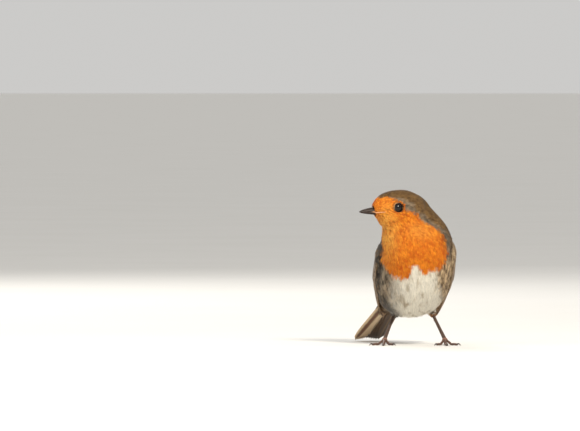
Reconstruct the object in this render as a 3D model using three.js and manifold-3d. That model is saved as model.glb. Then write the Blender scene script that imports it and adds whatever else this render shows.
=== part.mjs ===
// A European robin, life size: standing on level ground with its legs apart, its wings drooped,
// its tail swung to its right and its head turned to its right.
// Millimetres, +Z up. While it is built the breast faces -Y, the bird's left side is at +X and the
// ground point between its feet is the origin. At the end the group is moved so that its box is
// centred over the origin.
import * as THREE from 'three';
import { mergeVertices } from 'three/addons/utils/BufferGeometryUtils.js';
import Module from 'manifold-3d';

const wasm = await Module();
wasm.setup();

// ---------------------------------------------------------------- driving dimensions
const GAP = 0.3; // clearance between neighbouring pieces
const SHORTEST_EDGE = 0.04; // shorter edges left by cuts are joined up
const HEAD_TURN = THREE.MathUtils.degToRad(70); // head's turn to the bird's right
const EYE_HEIGHT = 84.4;
const HEAD_CENTRE = new THREE.Vector3(-12.2, -8.5, EYE_HEIGHT); // midway between the eyes
const EYE_RADIUS = 3.3;
const EYE_OFFSET = 7.0; // from the head's midplane to an eye's centre
const BILL_TIP = 22.6; // ahead of the head's centre
const BILL_LINE = -2.6; // the closed bill's parting line, below eye level
const WING_LENGTH = 73;
const BODY_LEAN = 0.09; // sideways slope of the body to its left, above mid height
const TAIL_LENGTH = 57.5;
const TAIL_FEATHERS = 12;
const TARSUS_RADIUS = 0.92;
const FOOT_SPREAD = 18.4; // each foot's distance from the middle of the stance
const STANCE_SHIFT = 0.8; // the stance's middle, to the left of the body's
const FOOT_DEPTH = 7.5; // the feet's place behind the origin of the body's sections
const ANKLE_HEIGHT = 24;
const FOOT_HEIGHT = 3.6; // the joint between tarsus and toes
const TOE_RADIUS = 0.78;
const SOLE_CUT = 0.22; // how much of a toe's round underside is flattened away

const { cos, sin, PI, max, min, abs, pow, sqrt } = Math;
const v3 = (x, y, z) => new THREE.Vector3(x, y, z);
const mix = THREE.MathUtils.lerp;
const smooth = THREE.MathUtils.smoothstep;

// ---------------------------------------------------------------- solids
// A closed solid through rings of equal point count, capped at both ends and facing out.
function loft(rings) {
  const count = rings[0].length;
  const points = rings.flat();
  const faces = [];
  for (let r = 0; r + 1 < rings.length; r++) {
    for (let i = 0; i < count; i++) {
      const a = r * count + i;
      const b = r * count + ((i + 1) % count);
      faces.push(a, b, a + count, b, b + count, a + count);
    }
  }
  const ends = [[0, true], [rings.length - 1, false]];
  for (const [ring, turned] of ends) {
    const centre = rings[ring].reduce((sum, p) => sum.add(p), v3(0, 0, 0)).divideScalar(count);
    const hub = points.push(centre) - 1;
    for (let i = 0; i < count; i++) {
      const a = ring * count + i;
      const b = ring * count + ((i + 1) % count);
      faces.push(...(turned ? [hub, b, a] : [hub, a, b]));
    }
  }
  const geometry = new THREE.BufferGeometry().setFromPoints(points);
  geometry.setIndex(faces);
  return solid(geometry);
}

// A three.js geometry as a manifold-3d solid, turned right side out if its faces point in.
function solid(geometry) {
  const bare = geometry.clone();
  bare.deleteAttribute('normal');
  bare.deleteAttribute('uv');
  const merged = mergeVertices(bare, 1e-4);
  const build = (triVerts) =>
    new wasm.Manifold(
      new wasm.Mesh({ numProp: 3, vertProperties: merged.attributes.position.array, triVerts }),
    );
  const triVerts = new Uint32Array(merged.index.array);
  const made = build(triVerts);
  if (made.volume() > 0) return made;
  return build(triVerts.reverse());
}

const joined = (solids) => solids.reduce((all, next) => all.add(next));

// The largest connected body of a cut solid: slivers at the rim of a cut are dropped.
function largest(cut) {
  return cut.decompose().reduce((best, body) => (body.volume() > best.volume() ? body : best));
}

// The two sides of a solid at a plane through a point, each kept half a gap back from it.
// The first is the side that the normal points to.
function parted(whole, point, normal) {
  const n = normal.clone().normalize();
  const at = n.dot(point);
  const ahead = whole.trimByPlane([n.x, n.y, n.z], at + GAP / 2);
  const behind = whole.trimByPlane([-n.x, -n.y, -n.z], -at + GAP / 2);
  return [largest(ahead), largest(behind)];
}

// Named columns of numbers, read smoothly at any place between the first row and the last.
function profile(rows) {
  const curve = [];
  for (let i = 0; i < rows[0].length; i += 3) {
    const points = rows.map((row) => v3(row[i], row[i + 1] ?? 0, row[i + 2] ?? 0));
    curve.push(new THREE.CatmullRomCurve3(points, false, 'centripetal'));
  }
  return (t) => curve.flatMap((c) => c.getPoint(t).toArray()).slice(0, rows[0].length);
}

// ---------------------------------------------------------------- trunk and neck
// Cross-sections from under the tail to inside the head. Each lies in the plane through an
// underside point and a back point (y, z), with its half width, and a sideways shift towards
// the tail or the turned head.
const TRUNK_SECTIONS = [
  // under y, z, back y, z, half width, shift
  [47.5, 24.6, 49.5, 29.2, 4.4, -10.4],
  [43.5, 22.8, 48.0, 30.8, 7.0, -9.4],
  [36.0, 21.6, 44.5, 34.5, 10.8, -6.6],
  [27.0, 19.2, 40.0, 39.5, 15.2, -4.2],
  [16.0, 17.0, 35.0, 47.0, 19.0, -2.4],
  [4.0, 19.2, 29.0, 55.5, 21.6, -0.6],
  [-8.0, 27.0, 24.5, 62.5, 22.5, 0.7],
  [-16.0, 37.5, 20.5, 68.0, 22.6, 1.5],
  [-20.0, 49.0, 16.8, 73.0, 22.3, 1.9],
  [-20.5, 60.0, 13.0, 78.0, 21.0, 1.4],
  [-18.6, 69.0, 9.6, 82.5, 18.6, -0.8],
  [-16.0, 75.0, 6.4, 87.0, 15.9, -3.0],
  [-13.6, 79.6, 3.6, 90.2, 13.0, -4.2],
  [-10.6, 83.4, 0.8, 92.2, 9.6, -5.2],
];
const TRUNK_RINGS = 22;
const TRUNK_SIDES = 24;

function trunkSolid() {
  const at = profile(TRUNK_SECTIONS);
  const rings = [];
  for (let r = 0; r <= TRUNK_RINGS; r++) {
    const [underY, underZ, backY, backZ, halfWidth, shift] = at(r / TRUNK_RINGS);
    const middle = v3(shift, (underY + backY) / 2, (underZ + backZ) / 2);
    const toBack = v3(0, (backY - underY) / 2, (backZ - underZ) / 2);
    const ring = [];
    for (let i = 0; i < TRUNK_SIDES; i++) {
      const turn = (2 * PI * i) / TRUNK_SIDES;
      // the flanks are fuller below the middle than above it
      const width = halfWidth * (1 - 0.07 * cos(turn));
      ring.push(middle.clone().addScaledVector(toBack, cos(turn)).add(v3(width * sin(turn), 0, 0)));
    }
    rings.push(ring);
  }
  return loft(rings);
}

// ---------------------------------------------------------------- head
// Head coordinates: ahead along the bill, across to the bird's left, and up, from HEAD_CENTRE.
const HEAD_AHEAD = v3(-sin(HEAD_TURN), -cos(HEAD_TURN), 0);
const HEAD_LEFT = v3(cos(HEAD_TURN), -sin(HEAD_TURN), 0);
function inHead(ahead, across, up) {
  return HEAD_CENTRE.clone()
    .addScaledVector(HEAD_AHEAD, ahead)
    .addScaledVector(HEAD_LEFT, across)
    .add(v3(0, 0, up));
}

const HEAD_SECTIONS = [
  // ahead, half width, top, bottom, cheek height
  [14.3, 1.3, 0.6, -3.0, -1.2],
  [13.8, 2.6, 2.1, -4.2, -1.2],
  [12.6, 4.0, 4.4, -5.1, -1.4],
  [10.6, 5.5, 6.6, -7.0, -1.6],
  [8.6, 6.6, 8.1, -11.0, -2.0],
  [5.0, 8.1, 9.7, -13.6, -2.2],
  [0.5, 9.5, 10.7, -14.2, -2.4],
  [-4.0, 10.7, 11.0, -14.4, -2.8],
  [-8.5, 11.4, 10.6, -13.6, -3.2],
  [-12.5, 11.2, 9.2, -12.4, -3.2],
  [-15.8, 9.6, 7.0, -10.4, -3.0],
  [-18.2, 6.0, 4.0, -7.6, -2.4],
  [-19.4, 2.0, 0.6, -4.6, -2.0],
];
const HEAD_RINGS = 15;
const HEAD_SIDES = 18;

function headSolid() {
  const at = profile(HEAD_SECTIONS);
  const rings = [];
  for (let r = 0; r <= HEAD_RINGS; r++) {
    const [ahead, halfWidth, top, bottom, cheek] = at(r / HEAD_RINGS);
    const ring = [];
    for (let i = 0; i < HEAD_SIDES; i++) {
      const turn = (2 * PI * i) / HEAD_SIDES;
      const reach = cos(turn) > 0 ? top - cheek : cheek - bottom;
      ring.push(inHead(ahead, halfWidth * sin(turn), cheek + reach * cos(turn)));
    }
    rings.push(ring);
  }
  return loft(rings);
}

// An eyeball, slightly flattened towards the head, or the socket that it sits in.
function eyeSolid(side, grow = 0) {
  const ball = new THREE.SphereGeometry(1, 14, 9);
  ball.scale(EYE_RADIUS + grow, EYE_RADIUS * 0.94 + grow, EYE_RADIUS * 0.98 + grow);
  ball.rotateZ(Math.atan2(HEAD_AHEAD.y, HEAD_AHEAD.x));
  const centre = inHead(0, side * EYE_OFFSET, 0);
  return solid(ball.translate(centre.x, centre.y, centre.z));
}

// One half of the bill: the culmen arches over the upper half and the keel bends up under the
// lower one. Both meet the parting line half a gap away from it.
const BILL_SECTIONS = [
  // ahead, half width, culmen above the line, keel below the line
  [11.2, 2.3, 2.7, 1.9],
  [13.4, 2.2, 2.7, 1.9],
  [15.6, 1.8, 2.35, 1.65],
  [18.0, 1.35, 1.85, 1.4],
  [20.2, 0.9, 1.25, 1.05],
  [21.8, 0.5, 0.62, 0.6],
  [22.6, 0.16, 0.12, 0.2],
];
const BILL_RINGS = 7;
const BILL_SIDES = 5;

function billHalf(up, grow = 0) {
  const at = profile(BILL_SECTIONS.map((row) => [row[0], row[1], up > 0 ? row[2] : row[3]]));
  const rings = [];
  for (let r = 0; r <= BILL_RINGS; r++) {
    const [place, halfWidth, height] = at(r / BILL_RINGS);
    const ahead = r === 0 ? place - grow : place;
    const line = BILL_LINE + up * (GAP / 2 - 2 * grow);
    const arch = height + 3.2 * grow;
    const ring = [];
    for (let i = 0; i <= BILL_SIDES; i++) {
      const turn = PI * (i / BILL_SIDES - 0.5);
      const across = (halfWidth + grow) * sin(turn);
      ring.push(inHead(ahead, across, line + up * arch * pow(max(cos(turn), 0), 0.85)));
    }
    rings.push(ring);
  }
  return loft(rings);
}

// ---------------------------------------------------------------- wings
// Wing coordinates: along from the wrist towards the tip of the longest primary, and across,
// positive towards the back. The outer face stands at outerFace() from the midplane.
const WRIST = v3(0, -6.5, 60.5);
const WING_TIP = v3(0, 52, 17);
const WING_ALONG = WING_TIP.clone().sub(WRIST).normalize();
const WING_ACROSS = v3(0, -WING_ALONG.z, WING_ALONG.y);
const WING_OUTER = [
  // share of the length, outer face from the midplane, upper droop, lower droop, upper edge, lower edge
  [0.0, 21.8, 1.0, 0.8, 3.5, -3.0],
  [0.05, 23.6, 1.8, 1.0, 7.2, -5.8],
  [0.13, 24.9, 3.4, 1.4, 10.4, -8.0],
  [0.27, 25.4, 7.0, 2.0, 13.0, -9.6],
  [0.42, 25.3, 10.0, 2.2, 13.4, -9.6],
  [0.56, 24.4, 11.5, 2.0, 11.4, -8.4],
  [0.7, 23.2, 10.0, 1.6, 7.0, -6.8],
  [0.84, 21.2, 7.0, 0.9, 2.4, -5.0],
  [0.95, 19.2, 6.4, 0.5, 1.6, -3.0],
  [1.0, 17.8, 4.5, 0.3, 1.2, -1.2],
];
const wingShape = (() => {
  const curve = profile(WING_OUTER);
  return (share) => {
    // the rows aren't evenly spaced, so the place with this share is searched for
    let low = 0;
    let high = 1;
    for (let i = 0; i < 24; i++) {
      const middle = (low + high) / 2;
      if (curve(middle)[0] < share) low = middle;
      else high = middle;
    }
    return curve(low);
  };
})();

function onWing(side, along, across, lift) {
  const [, outer, upperDroop, lowerDroop, upper, lower] = wingShape(min(max(along / WING_LENGTH, 0), 1));
  const droop = across > 0 ? upperDroop * pow(across / upper, 2) : lowerDroop * pow(across / lower, 2);
  const place = WRIST.clone().addScaledVector(WING_ALONG, along).addScaledVector(WING_ACROSS, across);
  const lean = BODY_LEAN * (place.z - 40);
  return place.add(v3(side * (outer - droop + lift) + lean, 0, 0));
}

// A shell between two places along the wing, with a thickness at each of them. Its outer face
// stands outward of the wing's, and its rims are thinned by a share.
const SHELL_SIDES = 6;
function wingShell(side, { start, end, thick, steps, outward, thinned, margin }) {
  const rings = [];
  for (let r = 0; r <= steps; r++) {
    const along = mix(start, end, r / steps);
    const [, , , , upper, lower] = wingShape(min(max(along / WING_LENGTH, 0), 1));
    const depth = mix(thick[0], thick[1], r / steps);
    const outside = [];
    const inside = [];
    for (let i = 0; i <= SHELL_SIDES; i++) {
      const share = i / SHELL_SIDES;
      const across = mix(lower - margin, upper + margin, share);
      const rim = thinned * (1 - sqrt(max(0, 1 - pow(2 * share - 1, 4))));
      const rounding = r === steps ? 3 * thinned * (sin(PI * share) - 1) : 0;
      outside.push(onWing(side, along + rounding, across, outward - 0.9 * rim));
      inside.push(onWing(side, along + rounding, across, 0.5 * depth * rim - depth));
    }
    rings.push([...outside, ...inside.reverse()]);
  }
  return loft(rings);
}

// The covert-feathered front of the wing, a curved shell that is thickest at the wrist.
const COVERTS_END = 34;
function covertsSolid(side, grow = 0) {
  return wingShell(side, {
    start: 0.4 - grow,
    end: COVERTS_END + grow,
    thick: [3.4 + grow, 2.3 + grow],
    steps: 7,
    outward: grow,
    thinned: 1,
    margin: grow,
  });
}

// The bed that the folded wing lies in, cut out of the body.
function wingBed(side) {
  return wingShell(side, {
    start: 0.4 - GAP,
    end: WING_LENGTH + GAP,
    thick: [3.5 + GAP, 4.0 + GAP],
    steps: 12,
    outward: 4,
    thinned: 0,
    margin: 3 * GAP,
  });
}

// One flight feather on the wing, from its root to a rounded tip, as a thin curved vane.
function wingVane(side, root, tip, halfWidth, lift, thick) {
  const rings = [];
  const steps = 4;
  for (let r = 0; r <= steps; r++) {
    const share = r / steps;
    const along = mix(root[0], tip[0], share);
    const across = mix(root[1], tip[1], share);
    const round = sqrt(max(0.02, 1 - pow(share, 5)));
    const half = halfWidth * mix(0.75, 1, smooth(share, 0, 0.5)) * round;
    // no feather stands out past the wing's own edges
    const [, , , , upper, lower] = wingShape(min(along / WING_LENGTH, 1));
    const low = min(max(across - half, lower), upper - 1);
    const high = max(min(across + half, upper), low + 1);
    const outside = [low, high].map((edge) => onWing(side, along, edge, lift));
    const inside = [high, low].map((edge) => onWing(side, along, edge, lift - thick));
    rings.push([...outside, ...inside]);
  }
  return loft(rings);
}

const SECONDARIES = 4;
const PRIMARIES = 4;
const VANE_THICK = 0.95;

// Tertials and secondaries: the first overlap the rest, and each lower one reaches further back.
function secondariesSolid(side, grow = 0) {
  const vanes = [];
  for (let k = 0; k < SECONDARIES; k++) {
    const share = k / (SECONDARIES - 1);
    const root = [COVERTS_END - 1.5 - grow, mix(8.2, -1.2, share)];
    const tip = [mix(49.5, 56.5, share) + grow, mix(6.8, 0.2, share)];
    vanes.push(wingVane(side, root, tip, 3.4 + grow, mix(-0.1, -0.85, share) + grow, VANE_THICK + 2 * grow));
  }
  return joined(vanes);
}

// Primaries: stacked along the wing's lower edge, with their tips stepping out to the wing tip.
function primariesSolid(side, grow = 0) {
  const vanes = [];
  for (let k = 0; k < PRIMARIES; k++) {
    const share = k / (PRIMARIES - 1);
    const root = [COVERTS_END - 1.5 - grow, mix(-3.4, -6.6, share)];
    const tip = [mix(59, WING_LENGTH, sqrt(share)) + grow, mix(3.4, 0.2, share)];
    const lift = mix(-0.95, -1.55, share) + grow;
    vanes.push(wingVane(side, root, tip, 2.9 + grow, lift, VANE_THICK + 2 * grow));
  }
  return joined(vanes);
}

// ---------------------------------------------------------------- tail
// Twelve feathers in a narrow fan, the middle pair on top, each outer one a little lower.
const TAIL_ROOT = v3(-9.5, 39.5, 31.2);
const TAIL_TIP = v3(-28.7, 85.5, 1.9);
const TAIL_ALONG = TAIL_TIP.clone().sub(TAIL_ROOT).normalize();
const TAIL_ACROSS = TAIL_ALONG.clone().cross(v3(0, 0, 1)).normalize();
const TAIL_UP = TAIL_ACROSS.clone().cross(TAIL_ALONG).normalize();
const TAIL_ROOT_SPREAD = 4.4; // the outermost feathers' distance from the middle, at the root
const TAIL_TIP_SPREAD = 8.2; // and at the tip
const TAIL_VANE_HALF = 3.1;
const TAIL_STEP = 0.3; // how much lower each feather lies than its inner neighbour

// A four-cornered cross-section of the tail, between two places across it and two heights.
function tailRing(along, [right, left], [low, high]) {
  const corners = [[right, high], [left, high], [left, low], [right, low]];
  return corners.map(([across, up]) =>
    TAIL_ROOT.clone()
      .addScaledVector(TAIL_ALONG, along)
      .addScaledVector(TAIL_ACROSS, across)
      .addScaledVector(TAIL_UP, up),
  );
}

// One tail feather; place runs from -1, the right edge, to 1, the left one.
function tailVane(place, length, top) {
  const shares = [0, 0.5, 0.9, 1];
  const rings = shares.map((share) => {
    const half = TAIL_VANE_HALF * mix(0.6, 1, smooth(share, 0, 0.6)) * sqrt(max(0.12, 1 - pow(share, 9)));
    const middle = place * mix(TAIL_ROOT_SPREAD, TAIL_TIP_SPREAD, share);
    return tailRing(length * share, [middle - half, middle + half], [top - VANE_THICK, top]);
  });
  return loft(rings);
}

function tailSolid() {
  const vanes = [];
  for (let k = 0; k < TAIL_FEATHERS; k++) {
    const place = (2 * k) / (TAIL_FEATHERS - 1) - 1;
    const rank = abs(place) * (TAIL_FEATHERS / 2);
    vanes.push(tailVane(place, TAIL_LENGTH - 1.2 * place * place, -TAIL_STEP * rank));
  }
  return joined(vanes);
}

// The room that the tail takes: a slot in the rump, and clearance for the wing next to it.
function tailRoom() {
  const half = TAIL_ROOT_SPREAD + TAIL_VANE_HALF + 2 * GAP;
  const depth = TAIL_STEP * (TAIL_FEATHERS / 2) + VANE_THICK + GAP;
  return loft([-GAP, TAIL_LENGTH / 2].map((along) => tailRing(along, [-half, half], [-depth, GAP])));
}

// ---------------------------------------------------------------- legs and feet
// A round limb along points with a radius at each.
function limb(points, radii, sides) {
  const curve = new THREE.CatmullRomCurve3(points, false, 'centripetal');
  const steps = points.length + 1;
  const rings = [];
  let across = null;
  for (let r = 0; r <= steps; r++) {
    const share = r / steps;
    const along = curve.getTangent(share);
    const previous = across ?? (abs(along.z) > 0.8 ? v3(1, 0, 0) : v3(0, 0, 1).cross(along));
    across = previous.clone().addScaledVector(along, -previous.dot(along)).normalize();
    const other = along.clone().cross(across);
    const place = share * (radii.length - 1);
    const first = min(Math.floor(place), radii.length - 2);
    const radius = mix(radii[first], radii[first + 1], place - first);
    const centre = curve.getPoint(share);
    const ring = [];
    for (let i = 0; i < sides; i++) {
      const turn = (2 * PI * i) / sides;
      ring.push(
        centre.clone()
          .addScaledVector(across, radius * cos(turn))
          .addScaledVector(other, radius * sin(turn)),
      );
    }
    rings.push(ring);
  }
  return loft(rings);
}

const anklePoint = (side) => v3(side * 9.3, FOOT_DEPTH + 13.5, ANKLE_HEIGHT);
const footPoint = (side) => v3(side * FOOT_SPREAD + STANCE_SHIFT, FOOT_DEPTH, FOOT_HEIGHT);
const alongTarsus = (side, share) => anklePoint(side).lerp(footPoint(side), share);

// The feathered lower thigh: a short cone round the top of the tarsus.
function thighSolid(side, grow = 0) {
  const inside = v3(side * 8, FOOT_DEPTH + 12.5, ANKLE_HEIGHT + 5);
  const points = [inside, alongTarsus(side, 0), alongTarsus(side, 0.17), alongTarsus(side, 0.34)];
  return limb(points, [4.6 + grow, 4.2 + grow, 3.0 + grow, 1.75 + grow], 10);
}

function tarsusSolid(side, grow = 0) {
  const points = [0.06, 0.3, 0.6, 0.88, 1].map((share) => alongTarsus(side, share));
  const thick = [1.15, 0.95, 0.85, 0.95, 1.15].map((r) => (r * TARSUS_RADIUS) / 0.85 + grow);
  return limb(points, thick, 7);
}

// Toes: the first points back, the others forward. Turn is outward from straight ahead.
const TOES = [
  { name: 'hind', turn: 176, length: 8.2, claw: 5.6, thick: 1.05 },
  { name: 'middle', turn: 4, length: 14.6, claw: 3.9, thick: 1.0 },
  { name: 'inner', turn: -27, length: 9.4, claw: 3.6, thick: 0.92 },
  { name: 'outer', turn: 38, length: 10.6, claw: 3.5, thick: 0.92 },
];
const TOE_START = 1.55; // from the foot's middle to a toe's root

function toeLine(side, toe) {
  const turn = THREE.MathUtils.degToRad(toe.turn);
  const ahead = v3(side * sin(turn), -cos(turn), 0);
  const foot = footPoint(side).setZ(0);
  return (distance, height) => foot.clone().addScaledVector(ahead, distance).setZ(height);
}

function toeSolid(side, toe, grow = 0) {
  const at = toeLine(side, toe);
  const radius = TOE_RADIUS * toe.thick;
  const low = radius - SOLE_CUT;
  const end = TOE_START + toe.length;
  const points = [
    at(TOE_START, 2.9),
    at(TOE_START + toe.length * 0.22, 1.9),
    at(TOE_START + toe.length * 0.45, low),
    at(TOE_START + toe.length * 0.72, low + 0.12),
    at(end, low),
  ];
  const pads = [1.1, 1.0, 1.06, 0.92, 0.86].map((share) => share * radius + grow);
  return limb(points, pads, 6).trimByPlane([0, 0, 1], -grow);
}

function clawSolid(side, toe) {
  const at = toeLine(side, toe);
  const start = TOE_START + toe.length + GAP;
  const base = TOE_RADIUS * toe.thick * 0.62;
  const points = [
    at(start, base + 0.12),
    at(start + toe.claw * 0.4, base + 0.55),
    at(start + toe.claw * 0.8, base + 0.1),
    at(start + toe.claw, 0.42),
  ];
  return limb(points, [base, base * 0.86, base * 0.5, 0.26], 5).trimByPlane([0, 0, 1], 0);
}

// The knuckle where the toes and the tarsus meet.
function footSolid(side, grow = 0) {
  const ball = new THREE.SphereGeometry(1, 8, 5);
  ball.scale(1.75 + grow, 1.7 + grow, 1.45 + grow);
  const centre = footPoint(side);
  return solid(ball.translate(centre.x, centre.y, FOOT_HEIGHT - 0.5));
}

// ---------------------------------------------------------------- colours
function finish(color, roughness, metalness = 0) {
  return new THREE.MeshStandardMaterial({ color, roughness, metalness });
}
const FINISH = {
  face: finish(0xd8701e, 0.85),
  bib: finish(0xd8752a, 0.85),
  belly: finish(0xe4ddd0, 0.9),
  back: finish(0x6f6249, 0.85),
  flight: finish(0x5b4c38, 0.7),
  leg: finish(0x4b3529, 0.5),
  claw: finish(0x2e231d, 0.4),
  bill: finish(0x2b2320, 0.35),
  eye: finish(0x0a0706, 0.05),
};

// ---------------------------------------------------------------- assembly
const robin = new THREE.Group();
robin.name = 'robin';

// Names a finished solid and adds it, with the short edges that cuts leave behind joined up.
function addPiece(name, piece, material) {
  const made = largest(piece).simplify(SHORTEST_EDGE).getMesh();
  const geometry = new THREE.BufferGeometry();
  const stride = made.numProp;
  const positions = new Float32Array(made.numVert * 3);
  for (let i = 0; i < made.numVert; i++) {
    positions.set(made.vertProperties.subarray(i * stride, i * stride + 3), i * 3);
  }
  geometry.setAttribute('position', new THREE.BufferAttribute(positions, 3));
  geometry.setIndex(new THREE.BufferAttribute(made.triVerts, 1));
  geometry.computeVertexNormals();
  const mesh = new THREE.Mesh(geometry, material);
  mesh.name = name;
  robin.add(mesh);
}

const SIDES = [['left', 1], ['right', -1]];

let flesh = trunkSolid().add(headSolid());
for (const [, side] of SIDES) {
  flesh = flesh
    .subtract(eyeSolid(side, GAP))
    .subtract(wingBed(side))
    .subtract(secondariesSolid(side, GAP))
    .subtract(primariesSolid(side, GAP))
    .subtract(thighSolid(side, GAP))
    .subtract(tarsusSolid(side, GAP));
}
flesh = flesh.subtract(billHalf(1, GAP)).subtract(billHalf(-1, GAP)).subtract(tailRoom());
flesh = largest(flesh);

// The head is parted from the neck on a slope from under the chin to the nape, then the neck
// from the trunk, the back from the breast and belly, and the breast from the belly.
const [head, belowHead] = parted(flesh, v3(-14, -10, 75.6), v3(-0.42, -0.2, 0.88));
const [neck, trunk] = parted(belowHead, v3(0, -4, 69.5), v3(-0.05, -0.36, 0.93));
const [rump, torso] = parted(trunk, v3(0, 37.5, 30), v3(-0.3, 0.82, -0.4));
const [mantle, front] = parted(torso, v3(0, 10, 56), v3(0, 0.72, 0.69));
const [breast, belly] = parted(front, v3(0, 0, 43), v3(0, -0.3, 0.95));

addPiece('head', head, FINISH.face);
addPiece('neck', neck, FINISH.bib);
addPiece('breast', breast, FINISH.bib);
addPiece('belly', belly, FINISH.belly);
addPiece('mantle', mantle, FINISH.back);
addPiece('rump', rump, FINISH.back);
addPiece('bill_upper', billHalf(1), FINISH.bill);
addPiece('bill_lower', billHalf(-1), FINISH.bill);
addPiece('tail', tailSolid(), FINISH.flight);

for (const [label, side] of SIDES) {
  const coverts = covertsSolid(side, GAP);
  const secondaries = secondariesSolid(side).subtract(coverts).subtract(tailRoom());
  const primaries = primariesSolid(side)
    .subtract(coverts)
    .subtract(secondariesSolid(side, GAP))
    .subtract(tailRoom());
  addPiece(`eye_${label}`, eyeSolid(side), FINISH.eye);
  addPiece(`wing_${label}_coverts`, covertsSolid(side), FINISH.back);
  addPiece(`wing_${label}_secondaries`, secondaries, FINISH.flight);
  addPiece(`wing_${label}_primaries`, primaries, FINISH.flight);
  addPiece(`thigh_${label}`, thighSolid(side).subtract(tarsusSolid(side, GAP)), FINISH.belly);
  addPiece(`tarsus_${label}`, tarsusSolid(side).subtract(footSolid(side, GAP)), FINISH.leg);
  addPiece(`foot_${label}`, footSolid(side), FINISH.leg);
  let taken = footSolid(side, GAP);
  for (const toe of TOES) {
    addPiece(`toe_${label}_${toe.name}`, toeSolid(side, toe).subtract(taken), FINISH.leg);
    taken = taken.add(toeSolid(side, toe, GAP));
    addPiece(`claw_${label}_${toe.name}`, clawSolid(side, toe), FINISH.claw);
  }
}

const box = new THREE.Box3().setFromObject(robin);
const middle = box.getCenter(v3(0, 0, 0));
robin.position.set(-middle.x, -middle.y, -box.min.z);

export default robin;
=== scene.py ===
import math

import bmesh
import bpy
import numpy as np
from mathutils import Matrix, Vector
from mathutils.bvhtree import BVHTree


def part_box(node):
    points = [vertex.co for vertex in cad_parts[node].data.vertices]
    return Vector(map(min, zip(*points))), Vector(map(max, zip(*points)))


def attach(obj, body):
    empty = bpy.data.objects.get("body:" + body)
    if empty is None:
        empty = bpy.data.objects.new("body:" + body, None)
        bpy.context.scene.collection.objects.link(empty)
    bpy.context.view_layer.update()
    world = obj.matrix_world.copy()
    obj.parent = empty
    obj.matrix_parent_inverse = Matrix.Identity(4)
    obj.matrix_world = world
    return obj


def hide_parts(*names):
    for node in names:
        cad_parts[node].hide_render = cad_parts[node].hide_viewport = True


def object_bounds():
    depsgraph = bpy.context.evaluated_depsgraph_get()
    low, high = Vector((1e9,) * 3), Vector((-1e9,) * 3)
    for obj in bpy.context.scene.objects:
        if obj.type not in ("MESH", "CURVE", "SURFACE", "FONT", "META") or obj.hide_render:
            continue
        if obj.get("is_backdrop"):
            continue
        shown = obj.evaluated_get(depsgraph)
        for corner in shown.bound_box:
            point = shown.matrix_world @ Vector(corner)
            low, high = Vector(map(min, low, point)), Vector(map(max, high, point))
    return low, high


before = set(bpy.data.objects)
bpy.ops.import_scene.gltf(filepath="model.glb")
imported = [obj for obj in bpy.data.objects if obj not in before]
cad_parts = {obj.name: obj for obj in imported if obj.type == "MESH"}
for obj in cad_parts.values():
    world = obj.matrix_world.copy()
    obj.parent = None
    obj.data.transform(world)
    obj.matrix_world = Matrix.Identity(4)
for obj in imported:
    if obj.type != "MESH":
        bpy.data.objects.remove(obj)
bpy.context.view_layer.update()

# ---------------------------------------------------------------- room
# A pale paper floor, and a camera far off and one degree above level, as a long lens sees a small
# bird. One soft lamp stands high in front, a little to the bird's left; weaker light comes from its
# right, from behind and from all round.
scene = bpy.context.scene
scene.view_settings.view_transform = "Standard"

CAMERA_AIM = np.array([-0.0718, -0.0332, 0.0793])  # what the middle of the frame looks at
CAMERA_DISTANCE = 5.0
CAMERA_LIFT = math.radians(1)
FRAME_WIDTH = 0.3538  # how much the frame's width takes in, at the bird

camera = bpy.data.objects.new("camera", bpy.data.cameras.new("camera"))
camera.data.sensor_width = 36
camera.data.lens = camera.data.sensor_width * CAMERA_DISTANCE / FRAME_WIDTH
camera.data.clip_end = 200
back_off = np.array([0, -math.cos(CAMERA_LIFT), math.sin(CAMERA_LIFT)])
camera.location = CAMERA_AIM + back_off * CAMERA_DISTANCE
camera.rotation_euler = (math.pi / 2 - CAMERA_LIFT, 0, 0)
scene.collection.objects.link(camera)
scene.camera = camera


LAMP_AIM = Vector((0, 0, 0.05))  # the middle of the bird


def lamp(name, place, size, power, colour):
    """A square soft lamp that faces the bird."""
    light = bpy.data.lights.new(name, "AREA")
    light.size = size
    light.energy = power
    light.color = colour
    holder = bpy.data.objects.new(name, light)
    holder.location = place
    holder.rotation_euler = (LAMP_AIM - holder.location).to_track_quat("-Z", "Y").to_euler()
    scene.collection.objects.link(holder)


lamp("key_lamp", (0.5, -1.3, 0.98), 0.28, 26, (1, 0.935, 0.83))
lamp("fill_lamp", (-1.1, -0.8, 0.5), 1.0, 4, (0.95, 0.97, 1))
lamp("back_lamp", (-0.5, 1.2, 0.9), 0.8, 8, (1, 0.98, 0.94))

world = bpy.data.worlds.new("studio")
scene.world = world
world.use_nodes = True
studio_light = world.node_tree.nodes["Background"].inputs
studio_light["Color"].default_value = (0.97, 0.96, 0.94, 1)
studio_light["Strength"].default_value = 0.62


def linear(red, green, blue):
    """A colour given in the 0 to 255 of a paint chart, as the shader needs it."""
    return tuple(((c / 255 + 0.055) / 1.055) ** 2.4 if c > 10 else c / 255 / 12.92
                 for c in (red, green, blue)) + (1,)


def new_material(name, **sockets):
    """A material whose shader's own sockets are set from the named values."""
    made = bpy.data.materials.new(name)
    made.use_nodes = True
    for key, value in sockets.items():
        made.node_tree.nodes["Principled BSDF"].inputs[key.replace("_", " ")].default_value = value
    return made


def add(material, kind, inputs, **settings):
    """A node of this kind, whose inputs are numbers, colours or other nodes' outputs."""
    made = material.node_tree.nodes.new("ShaderNode" + kind)
    for key, value in settings.items():
        setattr(made, key, value)
    for key, value in inputs.items():
        if isinstance(value, bpy.types.NodeSocket):
            material.node_tree.links.new(value, made.inputs[key])
        else:
            made.inputs[key].default_value = value
    return made


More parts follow.
